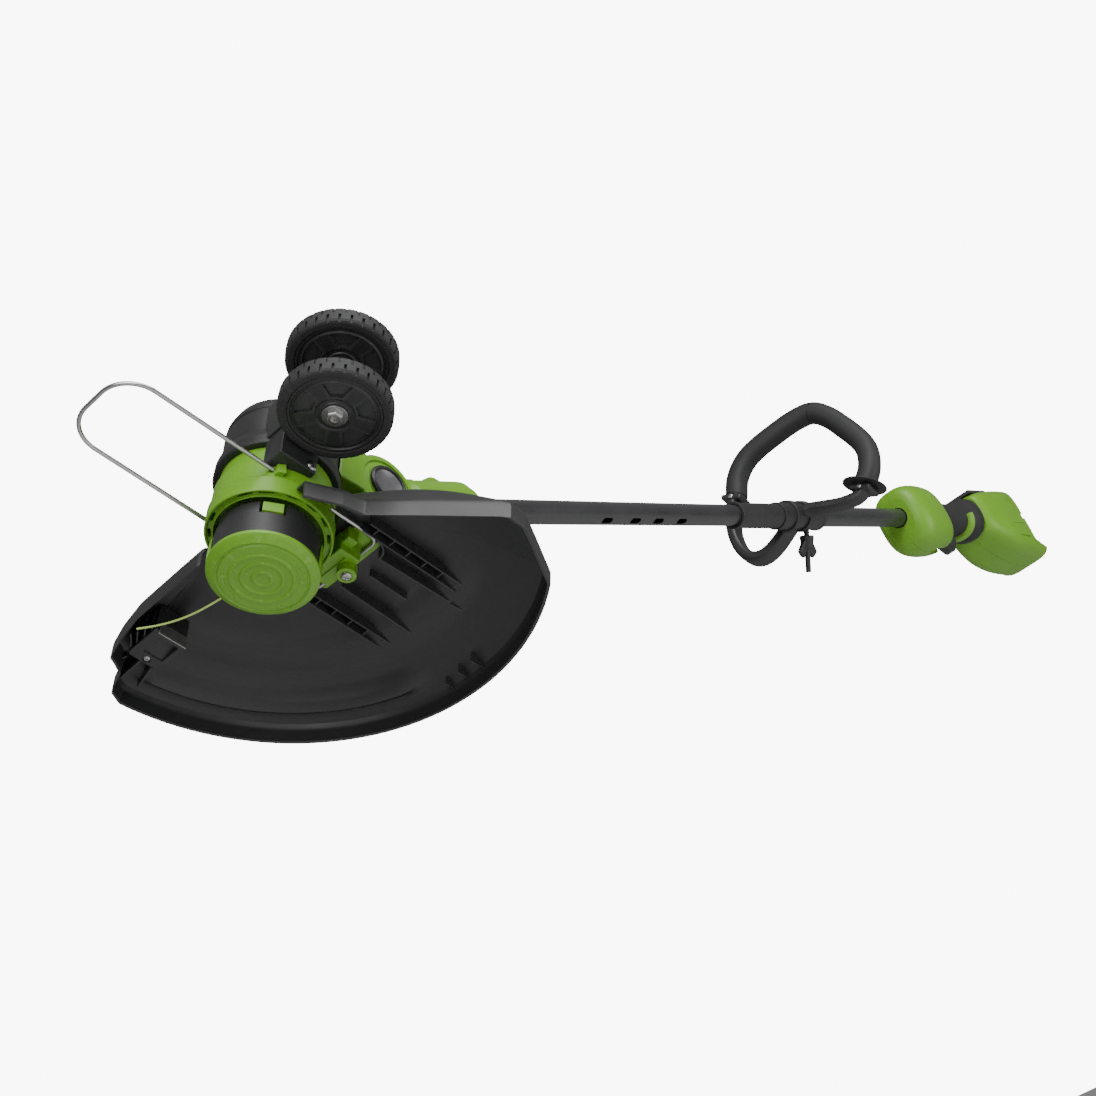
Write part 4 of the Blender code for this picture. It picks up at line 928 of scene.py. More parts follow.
def guard_section(angle):
    reach = guard_reach(angle)
    inner = RING_R + 0.0015
    span = reach - inner
    sheet = GUARD_SHEET
    steps = 30
    shoulder = guard_height(0)
    profile = [(reach - 0.0004, GUARD_RIM_W), (reach, GUARD_RIM_W + 0.0005), (reach, shoulder - 0.006),
               (reach - 0.0006, shoulder - 0.0032), (reach - 0.0022, shoulder - 0.0008)]
    for i in range(steps + 1):
        t = (i / steps) ** 1.25
        away = 0.005 + (span - 0.005) * t
        profile.append((reach - away, guard_height(away - 0.004)))
    for i in range(steps, -1, -1):
        t = (i / steps) ** 1.25
        away = 0.006 + (span - 0.006) * t
        drop_down = guard_relief(reach - away, angle) if reach > 0.195 else 0.0
        profile.append((reach - away, guard_height(away - 0.004) - sheet - drop_down))
    profile += [(reach - sheet - 0.0012, shoulder - 0.005), (reach - sheet, shoulder - 0.008),
                (reach - sheet, GUARD_RIM_W + 0.0005), (reach - sheet + 0.0004, GUARD_RIM_W)]
    c, s = math.cos(math.radians(angle)), math.sin(math.radians(angle))
    return [(r * c, r * s, w) for r, w in profile]


def upright(points, thick, low, sink=0.0012, high=None):
    """A thin upright wall that follows (u, v) points up to the underside of the guard's deck."""
    route = [Vector((u, v, 0)) for u, v in points]
    sections = []
    for i, here in enumerate(route):
        ahead = (route[min(i + 1, len(route) - 1)] - route[max(i - 1, 0)]).normalized()
        across = Vector((-ahead.y, ahead.x, 0)) * thick / 2
        top = high if high is not None else max(low + 0.001, guard_under(here.x, here.y) + sink)
        top_across = across * 1.25
        sections.append([(*(here - across).xy, low), (*(here + across).xy, low),
                         (*(here + top_across).xy, top),
                         (*(here - top_across).xy, top)])
    return shape(loft(sections), HEAD)


def straight(start, end, steps=10):
    a, b = Vector(start), Vector(end)
    return [tuple(a.lerp(b, i / steps)) for i in range(steps + 1)]


def build_guard():
    angles = [-105, -100, -95, -89, -84.4, -83.6, -78, -73.4, -72.6, -69, -66, -63, -60, -58, -56.9, -56.1,
              -54.5,
              -52.9, -52.1, -50, -47.4, -46.6, -43, -39, -36.6]
    angles += [-36 + 2.75 * i for i in range(0, 45)]
    angles += [86.5, 88.1, 88.8, 89.6, 90.3, 90.8, 92, 93.2, 93.8, 95, 95.8, 96.3, 97.5, 98.8, 99.3, 101,
               102.8, 103.3,
               106, 111, 117, 124]
    guard = shape(loft([guard_section(a) for a in angles]), HEAD)

    parts = []
    low = 0.06
    for side, inner, outer, end in ((-1, 0.044, 0.054, 0.176), (1, 0.042, 0.052, 0.184)):
        for offset in (inner, outer):
            parts.append(upright(straight((0.06, side * offset), (end, side * offset), 24), 0.0013, low))
        for k in range(7):
            u0 = 0.07 + 0.0175 * k
            parts.append(upright(straight((u0, side * inner), (u0, side * outer), 3), 0.001, low + 0.0012))
    parts.append(upright(straight((0.09, -0.029), (0.168, -0.032), 20), 0.0013, low))
    hook = [(0.168, -0.032), (0.182, -0.033), (0.196, -0.0315), (0.2, -0.0285), (0.194, -0.0258),
            (0.18, -0.0255)]
    parts.append(upright([tuple(p.xy) for p in smooth_path([(u, v, 0) for u, v in hook], 4)], 0.0014,
                         low - 0.002))
    bend = [(0.075, -0.044), (0.083, -0.0415), (0.089, -0.036), (0.091, -0.029)]
    parts.append(upright([tuple(p.xy) for p in smooth_path([(u, v, 0) for u, v in bend], 4)], 0.0013, low))
    parts.append(upright(straight((0.089, 0.018), (0.181, 0.02), 20), 0.0013, low))
    parts.append(upright(straight((0.181, 0.02), (0.198, 0.024), 6), 0.0014, low - 0.002))
    parts.append(upright(straight((0.1, -0.006), (0.14, -0.006), 8), 0.0013, low + 0.003))
    for shift in (-0.018, 0.0, 0.018):
        parts.append(upright(straight((0.212 + shift * 0.1, 0.006 + shift), (0.2275, 0.006 + shift * 1.05),
                                      4), 0.0011,
                             0.034))
    for u0, v0, u1, v1 in ((-0.018, 0.162, -0.006, 0.178), (-0.016, 0.155, -0.006, 0.17),
                           (-0.013, 0.148, -0.006, 0.16), (-0.01, 0.142, -0.005, 0.15)):
        parts.append(upright(straight((u0, v0), (u1, v1), 4), 0.0012, 0.032, high=0.05))
    for u0, v0, u1, v1 in ((0.008, 0.184, 0.008, 0.216), (-0.004, 0.188, -0.007, 0.2),
                           (0.02, 0.184, 0.026, 0.214)):
        parts.append(upright(straight((u0, v0), (u1, v1), 6), 0.0014, 0.033))
    outline = [(CUTTER_U[0], CUTTER_V), (0.0225, CUTTER_V), (CUTTER_U[1], 0.156), (0.021, 0.179),
               (0.017, 0.1818),
               (-0.0055, 0.1815), (CUTTER_U[0], 0.178)]
    block = shape(prism(outline, CUTTER_LOW_W, 0.059), HEAD)
    soften(block, 0.0012, 25, 3)
    pocket = loft([[(0.0005, 0.146, 0.029), (0.0205, 0.146, 0.029), (0.0205, 0.17, 0.029),
                    (0.0005, 0.17, 0.029)],
                   [(0.0015, 0.147, 0.0375), (0.0195, 0.147, 0.0375), (0.0195, 0.169, 0.0315),
                    (0.0015, 0.169, 0.0315)]])
    cut(block, shape(pocket, HEAD), shape(disc(0.0036, CUTTER_LOW_W - 0.001, CUTTER_LOW_W + 0.0016),
                                          moved(HEAD, 0.009, 0.176, 0)))
    gather(guard, block, *parts)
    show(guard, "line_guard_deck", "line_guard", sharp=30)
    place = moved(HEAD, 0.009, 0.176, CUTTER_LOW_W + 0.0016) @ FACING_DOWN
    small_screw("cutter_screw", "line_guard", place, 0.0031, 0.0022, 0.0008, 0.0006)
    edge = [(CUTTER_U[0] + 0.003, 0.0262), (CUTTER_U[1] - 0.003, 0.0262), (CUTTER_U[1] - 0.003, 0.0382),
            (CUTTER_U[0] + 0.003, 0.0382)]
    far, near = CUTTER_V - 0.0003, CUTTER_V - 0.0003 - 0.0015
    blade = loft([[(u, near + (0.0008 if w < 0.03 else 0.0), w) for u, w in edge],
                  [(u, far, w) for u, w in edge]])
    show(soften(shape(blade, HEAD), 0.0002, 30, 1), "cutter_blade_edge", "line_cutter_blade")


# ---------------------------------------------------------------- wire guard and its clip
def build_wire():
    corner, half, bend = 0.03, WIRE_HALF_WIDTH, 0.008
    route = [(WIRE_END_U, -WIRE_TUCK_V), (WIRE_END_U, -half + bend + 0.004), (WIRE_END_U, -half + bend)]
    route += arc((WIRE_END_U - bend, -half + bend), bend, 0, -90, 10)[1:]
    route += straight((0.06, -half), (-0.13, -half), 12)
    route += arc((WIRE_TIP_U + corner, -half + corner), corner, -90, -180, 20)
    route += arc((WIRE_TIP_U + corner, half - corner), corner, 180, 90, 20)
    route += straight((-0.13, half), (0.06, half), 12)
    route += arc((WIRE_END_U - bend, half - bend), bend, 90, 0, 10)
    route += [(WIRE_END_U, half - bend - 0.004), (WIRE_END_U, WIRE_TUCK_V)]
    show(shape(rod([Vector((u, v, WIRE_W)) for u, v in route], WIRE_R, 20), HEAD), "wire_guard_rod",
         "wire_guard",
         sharp=50)


def build_clip():
    low_u, top = RING_R + 0.0006, GUARD_DECK_W - GUARD_SHEET - 0.0006
    plate_low = WIRE_W + WIRE_R + 0.0004
    plate_half = WIRE_HALF_WIDTH - 0.0045
    clip = soften(shape(box((low_u, -0.025, 0.048), (0.0742, 0.0165, top)), HEAD), 0.0014, 40, 3)
    corner = 0.003
    sheet = []
    for u, v, start in ((0.086 - corner, plate_half - corner, 0), (0.056 + corner, plate_half - corner, 90),
                        (0.056 + corner, -plate_half + corner, 180),
                        (0.086 - corner, -plate_half + corner, 270)):
        sheet += arc((u, v), corner, start, start + 90, 5)
    plate = soften(shape(prism(sheet, plate_low, top - GAP), HEAD), 0.0005, 40)
    block = soften(shape(box((low_u + GAP, -0.0345, 0.055), (0.064, -0.005, top - 2 * GAP)), HEAD), 0.0015,
                   40, 3)
    boss_place = moved(HEAD, 0.0724, -0.0108, 0)
    boss = turned([(0, 0.04), (0.0085, 0.04), (0.0085, 0.052), (0, 0.052)], boss_place, 0.0008, 48)
    join(clip, plate, block, boss)
    cut(clip, turned([(0, 0.03), (0.0056, 0.03), (0.0056, 0.0406), (0, 0.0406)], boss_place, 0.0002, 40),
        shape(disc(0.0018, 0.03, 0.06), boss_place),
        shape(box((low_u + 0.004, -0.02, 0.047), (low_u + 0.01, 0.011, 0.0492)), HEAD))
    show(clip, "guard_clip_body", "guard_clip", sharp=30)
    place = moved(boss_place, 0, 0, 0.04) @ FACING_DOWN @ Matrix.Translation((0, 0, -0.0004))
    cross_screw("clip_screw_head", "clip_screw", place, 0.0015, 0.0044, 0.016, 0.0022)


# ---------------------------------------------------------------- edging wheels
def wheel_pocket(inner, outer, half_angle):
    outline = arc((0, 0), outer, -half_angle, half_angle, 10)
    outline += arc((0, 0), inner, half_angle * 0.62, -half_angle * 0.62, 6)
    return outline


def build_wheels():
    axis = moved(HEAD, WHEEL_U, WHEEL_V, WHEEL_NEAR_W)
    rim = TYRE_BORE - GAP
    for name, base in (("near", 0.0), ("far", WHEEL_SPACING)):
        place = moved(axis, 0, 0, base)
        hub = turned([(AXLE_R + GAP, 0.0006), (0.012, 0.0006), (0.0128, 0.0016), (0.015, 0.0018),
                      (0.0165, 0.001),
                      (rim - 0.0055, 0.001), (rim - 0.004, 0.0022), (rim - 0.0028, 0.0022),
                      (rim - 0.002, 0.0008),
                      (rim, 0.0008), (rim, WHEEL_WIDTH - 0.001), (rim - 0.003, WHEEL_WIDTH - 0.001),
                      (rim - 0.003, 0.006), (0.012, 0.006), (0.012, WHEEL_WIDTH),
                      (AXLE_R + GAP, WHEEL_WIDTH)],
                     place, 0.0004)
        cuts = []
        for k in range(SPOKE_COUNT):
            turn = spun(place, 360 / SPOKE_COUNT * k + 18)
            cuts.append(shape(prism(wheel_pocket(0.0185, rim - 0.0058, 23), 0.0000, 0.0036), turn))
        cut(hub, gather(*cuts))
        ribs = []
        for k in range(2 * SPOKE_COUNT):
            turn = spun(place, 180 / SPOKE_COUNT * k)
            ribs.append(shape(box((0.0116, -0.0007, 0.0055), (rim - 0.0025, 0.0007, WHEEL_WIDTH - 0.003)),
                              turn))
        gather(hub, *ribs)
        soften(hub, 0.0003, 60, 1, lambda e: e.calc_length() > 0.001)
        show(hub, name + "_wheel_hub_face", name + "_wheel_hub", sharp=30)
        tyre = turned([(TYRE_BORE, 0.0004), (TYRE_BORE + 0.001, 0), (WHEEL_R - 0.003, 0),
                       (WHEEL_R - 0.0012, 0.0008),
                       (WHEEL_R, 0.0028), (WHEEL_R + 0.0003, WHEEL_WIDTH / 2),
                       (WHEEL_R, WHEEL_WIDTH - 0.0028),
                       (WHEEL_R - 0.0012, WHEEL_WIDTH - 0.0008), (WHEEL_R - 0.003, WHEEL_WIDTH),
                       (TYRE_BORE + 0.001, WHEEL_WIDTH),
                       (TYRE_BORE, WHEEL_WIDTH - 0.0004)], place, 0.0005, 180)
        grooves = []
        for k in range(TREAD_COUNT):
            turn = spun(place, 360 / TREAD_COUNT * k)
            grooves.append(shape(box((WHEEL_R - 0.002, -0.0011, -0.001),
                                     (WHEEL_R + 0.002, 0.0011, WHEEL_WIDTH * 0.46)), turn))
            turn = spun(place, 360 / TREAD_COUNT * (k + 0.5))
            grooves.append(shape(box((WHEEL_R - 0.002, -0.0011, WHEEL_WIDTH * 0.54),
                                     (WHEEL_R + 0.002, 0.0011, WHEEL_WIDTH + 0.001)),
                                 turn))
        cut(tyre, gather(*grooves))
        show(tyre, name + "_wheel_tread", name + "_wheel_tyre", sharp=30)

    end = WHEEL_SPACING + WHEEL_WIDTH + 0.0012
    show(turned([(0, -0.001), (AXLE_R - 0.0004, -0.001), (AXLE_R, -0.0004), (AXLE_R, end), (0.007, end),
                 (0.007, end + 0.0018), (0.0055, end + 0.003), (0, end + 0.0034)], axis, 0.0003, 48),
         "wheel_axle_pin", "wheel_axle")
    nut = shape(lathe([(0, -0.004), (0.006, -0.004), (0.007, -0.0032), (0.007, 0.0002), (0, 0.0002)], 6),
                axis)
    cut(nut, shape(disc(AXLE_R - 0.001, -0.006, 0.002), axis))
    show(soften(nut, 0.0003, 30, 1), "axle_nut_hex", "axle_nut")
    show(turned([(AXLE_R - 0.0008, -0.0006), (0.0105, -0.0006), (0.0105, 0.0008),
                 (AXLE_R - 0.0008, 0.0008)], axis, 0.0003),
         "axle_washer", (), "bright_steel", BODY_OF["axle_nut"])

    between = (WHEEL_NEAR_W + WHEEL_WIDTH + 0.001, WHEEL_NEAR_W + WHEEL_SPACING - 0.001)
    arm = [(WHEEL_U - 0.016, -0.03), (WHEEL_U - 0.016, -0.06)]
    arm += arc((WHEEL_U, WHEEL_V), 0.0115, 180, 360, 28)
    arm += [(WHEEL_U + 0.022, -0.06), (WHEEL_U + 0.022, -0.03)]
    bracket = soften(shape(prism(arm, *between), HEAD), 0.0014, 40, 3)
    plate_v = -0.0575
    plate = soften(shape(box((WHEEL_U - 0.014, plate_v, 0.07),
                             (WHEEL_U + 0.022, -0.03, between[0] + 0.005)), HEAD),
                   0.0014, 40, 3)
    core = [(0, 0), (HOUSING_R + 0.0007, 0.0), (HOUSING_R + 0.0007, HOUSING_TOP - GAP),
            (COVER_FLARE_R + GAP, HOUSING_TOP),
            (COVER_FLARE_R + GAP, HOUSING_TOP + 0.013), (HOUSING_R + 0.0007, HOUSING_TOP + 0.021),
            (HOUSING_R + 0.0007, COVER_TOP), (0, COVER_TOP)]
    join(bracket, plate)
    screw_place = moved(HEAD, -0.006, plate_v, 0.0765) @ ALONG_MINUS_Y
    groove = [(WHEEL_U - 0.01, -0.0605), (WHEEL_U - 0.0065, -0.0905), (WHEEL_U + 0.0065, -0.0905),
              (WHEEL_U + 0.015, -0.0605)]
    cut(bracket, shape(lathe(core), HEAD), shape(disc(AXLE_R + GAP, 0, 0.2), axis),
        shape(disc(0.006, -0.0012, 0.003), screw_place), shape(disc(0.0018, -0.0055, 0.002), screw_place),
        shape(prism(groove, between[0] - 0.001, between[0] + 0.0022), HEAD),
        shape(prism(groove, between[1] - 0.0022, between[1] + 0.001), HEAD))
    show(bracket, "wheel_bracket_arm", "wheel_bracket", sharp=30)
    cross_screw("bracket_screw_head", "bracket_screw", moved(screw_place, 0, 0, -0.0009), 0.0015, 0.0046,
                0.0026, 0.0022)


# ---------------------------------------------------------------- shaft
def build_shaft():
    length = TUBE_REAR - TUBE_FRONT
    tube = turned([(TUBE_R - TUBE_WALL, 0), (TUBE_R, 0), (TUBE_R, length), (TUBE_R - TUBE_WALL, length)],
                  Matrix.Translation((TUBE_FRONT, 0, 0)) @ ALONG_X, 0.0003)
    holes = []
    for x in (-0.814, -0.762, -0.718, -0.672):
        outline = arc((x + 0.0055, 0), 0.0036, -90, 90, 12) + arc((x - 0.0055, 0), 0.0036, 90, 270, 12)
        holes.append(shape(prism(outline, -0.02, -0.005), Matrix.Rotation(math.radians(-18), 4, 'X')))
    cut(tube, gather(*holes))
    show(tube, "tube_finish", "shaft_tube", sharp=45)


# ---------------------------------------------------------------- assist handle
def loop_point(across, up):
    return Vector((0, -across, up))


def build_assist_handle():
    half_side = [(0.086, 0.031), (0.086, 0.035), (0.0885, 0.055), (0.083, 0.077), (0.068, 0.096),
                 (0.034, 0.122), (0.013, 0.1335)]
    route = [loop_point(-b, a) for b, a in half_side] + [loop_point(0, 0.1365)]
    route += [loop_point(b, a) for b, a in reversed(half_side)]
    path = smooth_path(route, 8)
    grip = shape(sweep(path, GRIP_THICKNESS * 0.5, GRIP_THICKNESS * 0.5, (1, 0, 0), 2.3, 40), LOOP)
    soften(grip, 0.0022, 50, 3)
    bead_path = [p - Vector((0, p.y, p.z - 0.045)).normalized() * (GRIP_THICKNESS * 0.5 - 0.0004)
                 for p in path[3:-3]]
    bead = shape(sweep(bead_path, 0.0009, 0.0009, (1, 0, 0), 2.0, 10), LOOP)
    seams = []
    for at in (0.045, 0.5, 0.955):
        here = path[int(at * (len(path) - 1))]
        ahead = (path[int(at * (len(path) - 1)) + 1] - path[int(at * (len(path) - 1)) - 1]).normalized()
        turn = LOOP @ Matrix.Translation(here) @ ahead.to_track_quat('Z', 'Y').to_matrix().to_4x4()
        seams.append(shape(ring(GRIP_THICKNESS * 0.5 - 0.0006, GRIP_THICKNESS, -0.0005, 0.0005, 48), turn))
    cut(grip, *seams)
    gather(grip, bead)
    show(grip, "assist_grip_foam", "assist_grip", sharp=40)

    left = [loop_point(b, a) for b, a in (
        (-0.086, 0.03), (-0.086, 0.025), (-0.085, 0.01), (-0.079, -0.016), (-0.066, -0.038),
        (-0.05, -0.0505), (-0.036, -0.052), (-0.024, -0.045), (-0.014, -0.032), (-0.004, -0.0135))]
    right = [loop_point(b, a) for b, a in (
        (0.086, 0.03), (0.0858, 0.026), (0.078, 0.0175), (0.06, 0.0115), (0.04, 0.0095),
        (0.022, 0.008), (0.0125, 0.004))]
    base = turned([(TUBE_R + GAP, CLAMP_FRONT), (SLEEVE_R + 0.0015, CLAMP_FRONT),
                   (SLEEVE_R + 0.0015, SLEEVE_REAR - 0.004),
                   (SLEEVE_R + 0.0024, SLEEVE_REAR - 0.0034), (SLEEVE_R + 0.0024, SLEEVE_REAR),
                   (TUBE_R + GAP, SLEEVE_REAR)], CLAMP @ ALONG_X, 0.0006)
    left_arm = soften(shape(sweep(smooth_path(left, 6), 0.0125, 0.007, (1, 0, 0), 3.4, 36), LOOP), 0.001,
                      60, 2)
    right_arm = soften(shape(sweep(smooth_path(right, 6), 0.01, 0.006, (1, 0, 0), 3.4, 36), LOOP), 0.001,
                       60, 2)
    join(base, left_arm, right_arm)
    recess = [loop_point(b, a) for b, a in ((0.07, 0.0155), (0.06, 0.0118), (0.044, 0.01), (0.03, 0.0092))]
    tools = [shape(disc(TUBE_R + GAP, -0.3, 0.3), CLAMP @ ALONG_X)]
    for side in (1, -1):
        trough = [p + Vector((0.0103 * side, 0, 0)) for p in smooth_path(recess, 5)]
        tools.append(shape(sweep(trough, 0.002, 0.004, (1, 0, 0), 3.0, 16), LOOP))
    cut(base, *tools)
    collars = []
    for side in (1, -1):
        collars.append(soften(shape(box((-0.0134, -side * ASSIST_HALF_WIDTH - 0.0134, 0.0235),
                                        (0.0134, -side * ASSIST_HALF_WIDTH + 0.0134, 0.0306)),
                                    LOOP), 0.003, 40, 4))
    ribs = []
    for k in range(5):
        lean = math.radians(-28 + 14 * k)
        start = loop_point(0.054, 0.0125)
        way = Vector((math.sin(lean) * 0.4, -math.cos(lean), 0.28))
        ribs.append(shape(sweep([start + way * t * 0.0055 for t in (0, 1, 2, 3, 4)], 0.0007, 0.0007,
                                (1, 0, 0.01), 2.0, 8), LOOP))
    strap = []
    for x in (-0.018, 0.012):
        strap.append(turned([(TUBE_R + 0.001, x - 0.0065), (SLEEVE_R + 0.0042, x - 0.0065),
                             (SLEEVE_R + 0.0042, x + 0.0065),
                             (TUBE_R + 0.001, x + 0.0065)], CLAMP @ ALONG_X, 0.0012))
    gather(base, *collars, *strap, *ribs)
    show(base, "assist_base_frame", "assist_base", sharp=32)
    for side, spot in ((1, "right"), (-1, "left")):
        for face, way in (("rear", 1), ("front", -1)):
            place = moved(LOOP, way * 0.0134, -side * ASSIST_HALF_WIDTH, 0.027)
            place = place @ Matrix.Rotation(way * math.pi / 2, 4, 'Y')
            small_screw("collar_screw_" + spot + "_" + face, "assist_base", place, 0.003, 0.002, 0.0006,
                        0.0005)
    sleeve = turned([(TUBE_R + GAP, SLEEVE_FRONT), (SLEEVE_R + 0.001, SLEEVE_FRONT),
                     (SLEEVE_R + 0.001, SLEEVE_FRONT + 0.003),
                     (SLEEVE_R, SLEEVE_FRONT + 0.0036), (SLEEVE_R, CLAMP_FRONT - GAP),
                     (TUBE_R + GAP, CLAMP_FRONT - GAP)],
                    CLAMP @ ALONG_X, 0.0005)
    show(sleeve, "tube_sleeve_cover", "tube_sleeve")
    stem = moved(CLAMP, 0.026, 0, -0.0165) @ FACING_DOWN
    show(turned([(0, GAP), (0.003, GAP), (0.003, 0.0292), (0.0024, 0.03), (0, 0.03)], stem, 0.0002, 32),
         "clamp_bolt_stud",
         "clamp_bolt")
    knob = turned([(0.0033, 0.006), (0.0082, 0.006), (0.0086, 0.009), (0.007, 0.02), (0.006, 0.0225),
                   (0.0033, 0.0225)],
                  stem, 0.0008, 48)
    wings = []
    for side in (1, -1):
        wing = [Vector((side * 0.003, 0, 0.015)), Vector((side * 0.008, 0, 0.0195)),
                Vector((side * 0.0125, 0, 0.0245)),
                Vector((side * 0.016, 0, 0.0285))]
        wings.append(soften(shape(sweep(smooth_path(wing, 5), 0.0031, 0.0068, (0, 1, 0), 2.6, 28), stem),
                            0.002, 45, 4))
    join(knob, *wings)
    cut(knob, shape(disc(0.0033, -0.01, 0.05), stem))
    show(knob, "wing_knob_body", "wing_knob", sharp=40)


# ---------------------------------------------------------------- rear handle
def hood_rows(rows):
    return loft([oval(x, 0, (low + high) / 2, half, (high - low) / 2, 4.5, 80) for x, half, low,
                 high in rows])


def vent_lines(x, z, count, side, lean):
    """Fine slanted grooves on the hood's side."""
    made = []
    for k in range(count):
        outline = [(x + 0.0042 * k, z), (x + 0.0042 * k + 0.0016, z),
                   (x + 0.0042 * k + 0.0016 + lean, z + 0.016),
                   (x + 0.0042 * k + lean, z + 0.016)]
        low, high = sorted((-side * 0.0405, -side * 0.05))
        made.append((prism(outline, low, high), ALONG_MINUS_Y))
    return made


def build_rear_handle():
    mid_z = (HAND_GUARD_BOTTOM + HAND_GUARD_TOP) / 2
    half_z = (HAND_GUARD_TOP - HAND_GUARD_BOTTOM) / 2
    span = HAND_GUARD_REAR - HAND_GUARD_FRONT

    def hand_guard():
        rows = smooth_rows([(0.0, 0.5, 0.55, 0.004), (0.03, 0.72, 0.75, 0.0035), (0.1, 0.87, 0.89, 0.0025),
                            (0.22, 0.97, 0.97, 0.001), (0.45, 1.0, 1.0, 0.0), (0.72, 0.97, 0.97, -0.001),
                            (0.9, 0.87, 0.89, -0.003), (0.97, 0.78, 0.82, -0.0045),
                            (1.0, 0.66, 0.72, -0.005)], 4)
        return loft([oval(HAND_GUARD_FRONT + span * t, 0, mid_z + dz, HAND_GUARD_HALF_WIDTH * wy,
                          half_z * wz, 2.7, 96)
                     for t, wy, wz, dz in rows])

    def control_slots():
        yield box((-0.082, -0.0075, -0.07), (0.004, 0.0075, -0.0125)), ROW
        yield box((-0.06, -0.0075, 0.01), (HAND_GUARD_REAR + 0.02, 0.0075, 0.06)), ROW

    def hand_guard_cuts():
        yield loft([oval(HAND_GUARD_FRONT + 0.012, 0, -0.01, 0.024, 0.03, 2.7, 48),
                    oval(HAND_GUARD_REAR - 0.012, 0, -0.01, 0.024, 0.03, 2.7, 48)]), ROW
        yield disc(TUBE_R + 0.0012, -0.3, 0.3, 64), ALONG_X
        yield from control_slots()
        yield disc(REAR_GRIP_R + 0.0014, HAND_GUARD_REAR - 0.01, 0, 64), ALONG_X

    halves((hand_guard, ROW), hand_guard_cuts, (("hand_guard_left", -1), ("hand_guard_right", 1)), 0.0006)

    def grip():
        rows = smooth_rows([(HAND_GUARD_REAR - 0.009, REAR_GRIP_R - 0.001, 0.0),
                            (HAND_GUARD_REAR + 0.015, REAR_GRIP_R, 0.0),
                            (0.01, REAR_GRIP_R, -0.001), (0.03, REAR_GRIP_R + 0.0015, -0.002),
                            (0.045, BULB_R - 0.004, -0.004), (BULB_X - 0.006, BULB_R, -0.004),
                            (BULB_X + 0.008, BULB_R, -0.004)], 5)
        return loft([oval(x, 0, z, r, r * 1.04, 2.2, 64) for x, r, z in rows])

    def grip_cuts():
        yield disc(0.0135, -0.2, 0.2), ALONG_X
        yield from control_slots()

    halves((grip, ROW), grip_cuts, (("grip_shell_left", -1), ("grip_shell_right", 1)), 0.0006)
    for side, word in ((-1, "left"), (1, "right")):
        patch = soften(shape(loft([oval(x, side * 0.0004, -0.003 - (x - 0.03) * 0.05, r, r * 1.04, 2.2, 64)
                                   for x, r in ((0.0345, REAR_GRIP_R + 0.0052),
                                                (0.0385, REAR_GRIP_R + 0.0064),
                                                (0.0425, REAR_GRIP_R + 0.008))]), ROW), 0.0004, 50)
        cut(patch, shape(box((0, -0.1, -0.006), (0.1, 0.1, 0.1))), shape(far_side(side)),
            shape(disc(0.018, 0, 0.1), ALONG_X))
        show(patch, "grip_accent_" + word, (), "green_plastic", BODY_OF["grip_shell_left"])

    def hood():
        return hood_rows(smooth_rows([
            (HOOD_FRONT + 0.0085, 0.0275, -0.029, 0.023), (HOOD_FRONT + 0.012, 0.031, -0.035, 0.0252),
            (HOOD_FRONT + 0.022, 0.036, -0.044, 0.027), (HOOD_FRONT + 0.05, 0.041, -0.06, 0.029),
            (HOOD_FRONT + 0.085, HOOD_HALF_WIDTH - 0.0006, -0.0715, HOOD_TOP),
            (HOOD_LIP - 0.012, HOOD_HALF_WIDTH - 0.0008, HOOD_BOTTOM + 0.0006, HOOD_TOP - 0.0004),
            (HOOD_LIP - 0.006, HOOD_HALF_WIDTH, HOOD_BOTTOM, HOOD_TOP),
            (HOOD_LIP, HOOD_HALF_WIDTH, HOOD_BOTTOM, HOOD_TOP)], 4))

    def hood_cuts(side):
        yield hood_rows([(HOOD_FRONT + 0.03, 0.033, -0.044, 0.022), (HOOD_FRONT + 0.06, 0.038, -0.058, 0.025),
                         (HOOD_LIP + 0.01, HOOD_HALF_WIDTH - HOOD_WALL, HOOD_BOTTOM + HOOD_WALL,
                          HOOD_TOP - HOOD_WALL)]), ROW
        yield disc(0.012, -0.2, HOOD_FRONT + 0.035), ALONG_X
        panel_low = HOOD_TOP - PANEL_THICKNESS
        yield box((HOOD_FRONT, -PANEL_HALF_WIDTH - GAP, panel_low - GAP),
                  (HOOD_REAR - 0.04, PANEL_HALF_WIDTH + GAP, HOOD_TOP + 0.02)), ROW
        rear = [(HOOD_REAR, 0.1), (HOOD_REAR, -0.05), (HOOD_REAR + 0.0015, -0.0545),
                (HOOD_REAR + 0.005, -0.058),
                (HOOD_REAR + 0.012, -0.0604), (HOOD_LIP + 0.01, -0.073), (HOOD_LIP + 0.01, 0.1)]
        yield prism(rear, -0.2, 0.2), ALONG_MINUS_Y
        low, high = sorted((-side * 0.04, -side * 0.06))
        window = [(0.129, -0.056), (0.156, -0.0585), (0.156, -0.0515), (0.129, -0.049)]
        yield prism(window, low, high), ALONG_MINUS_Y
        notch = [(0.164, -0.024), (0.172, -0.024), (0.172, -0.016), (0.164, -0.016)]
        yield prism(notch, low, high), ALONG_MINUS_Y
        low, high = sorted((-side * 0.0417, -side * 0.06))
        seam = [(0.07, -0.021), (0.12, -0.03), (0.172, -0.032), (0.172, -0.0328), (0.12, -0.0308),
                (0.07, -0.0218)]
        yield prism(seam, low, high), ALONG_MINUS_Y
        yield from vent_lines(0.105, -0.05, 4, side, 0.003)
        yield from vent_lines(0.14, 0.002, 5, side, 0.003)

    for name, side in (("rear_hood_left", -1), ("rear_hood_right", 1)):
        half = shape(hood())
        cut(half, *[shape(bm, place) for bm, place in hood_cuts(side)], shape(far_side(side)))
        soften(half, 0.0005, 30, 2, on_seam)
        show(half, name + "_shell", name, sharp=28)

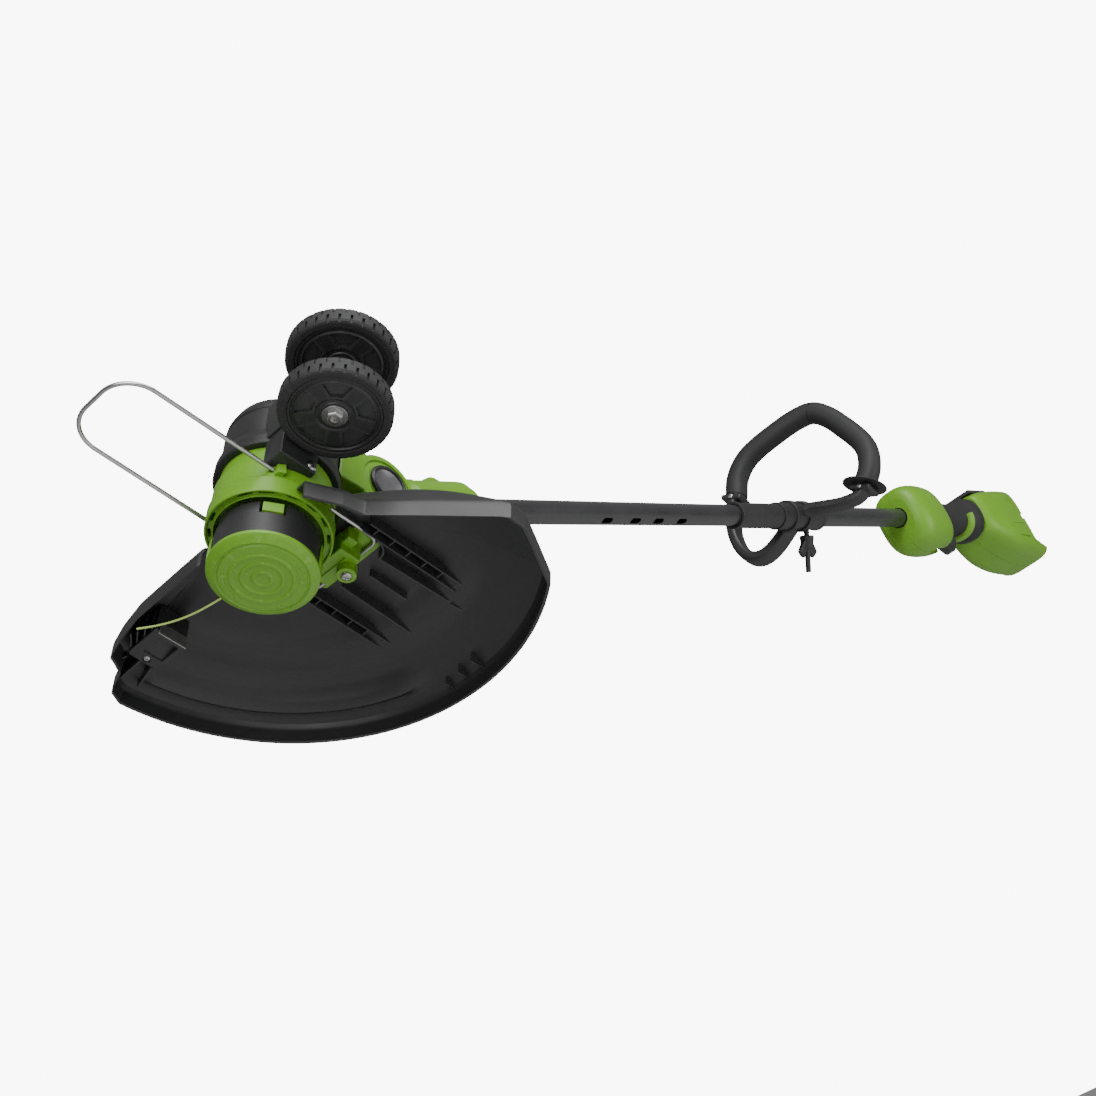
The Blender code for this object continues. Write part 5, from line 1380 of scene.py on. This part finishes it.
    panel_low = HOOD_TOP - PANEL_THICKNESS
    panel = shape(box((HOOD_FRONT + 0.009, -PANEL_HALF_WIDTH, panel_low),
                      (HOOD_REAR - 0.0405, PANEL_HALF_WIDTH, HOOD_TOP + 0.0015)))
    soften(panel, 0.0016, 40, 4, lambda e: all(v.co.z > panel_low + 0.001 for v in e.verts))
    bulb = loft([oval(x, 0, -0.004, BULB_R + GAP, BULB_R * 1.04 + GAP, 2.2, 64)
                 for x in (HOOD_FRONT - 0.01, HOOD_FRONT + 0.0065)])
    trough = box((HOOD_FRONT + 0.018, -0.0175, HOOD_TOP + 0.0008),
                 (HOOD_REAR - 0.052, 0.0175, HOOD_TOP + 0.01))
    cut(panel, shape(bulb), shape(trough))
    show(panel, "hood_panel_face", "hood_top_panel", sharp=30)

    block = shape(box((HOOD_FRONT + 0.04, -0.02, -0.03), (HOOD_FRONT + 0.052, 0.02, 0.000)))
    soften(block, 0.0008, 40)
    blades = []
    for y in (-0.014, -0.005, 0.005, 0.014):
        blades.append(shape(box((HOOD_FRONT + 0.048, y - 0.0016, -0.024),
                                (HOOD_FRONT + 0.06, y + 0.0016, -0.006))))
    cut(block, gather(*blades))
    show(block, "terminal_block_body", "battery_terminal_block")
    trigger = [(-0.078, -0.0285), (-0.044, -0.026), (-0.018, -0.025), (-0.008, -0.027), (-0.0048, -0.03),
               (-0.004, -0.0345),
               (-0.006, -0.0382), (-0.01, -0.042), (-0.015, -0.0465), (-0.02, -0.05), (-0.025, -0.0532),
               (-0.03, -0.054), (-0.0345, -0.0532), (-0.04, -0.05), (-0.046, -0.0447), (-0.052, -0.04),
               (-0.064, -0.0362), (-0.078, -0.035)]
    show(soften(shape(prism(trigger, -0.0065, 0.0065), ALONG_MINUS_Y), 0.0018, 45, 4), "trigger_lever",
         "trigger")
    lever = [(-0.058, 0.026), (-0.048, 0.024), (-0.0435, 0.0265), (-0.04, 0.03), (-0.034, 0.0368),
             (-0.029, 0.041),
             (-0.0276, 0.0438), (-0.03, 0.046), (-0.033, 0.0458), (-0.036, 0.044), (-0.046, 0.036),
             (-0.058, 0.034)]
    show(soften(shape(prism(lever, -0.006, 0.006), ALONG_MINUS_Y), 0.0014, 45, 3), "lock_off_paddle",
         "lock_off_lever")


for build in (build_stage, build_line, build_shaft, build_spool, build_housing, build_neck, build_guard,
              build_wire,
              build_clip, build_wheels, build_assist_handle, build_rear_handle):
    build()
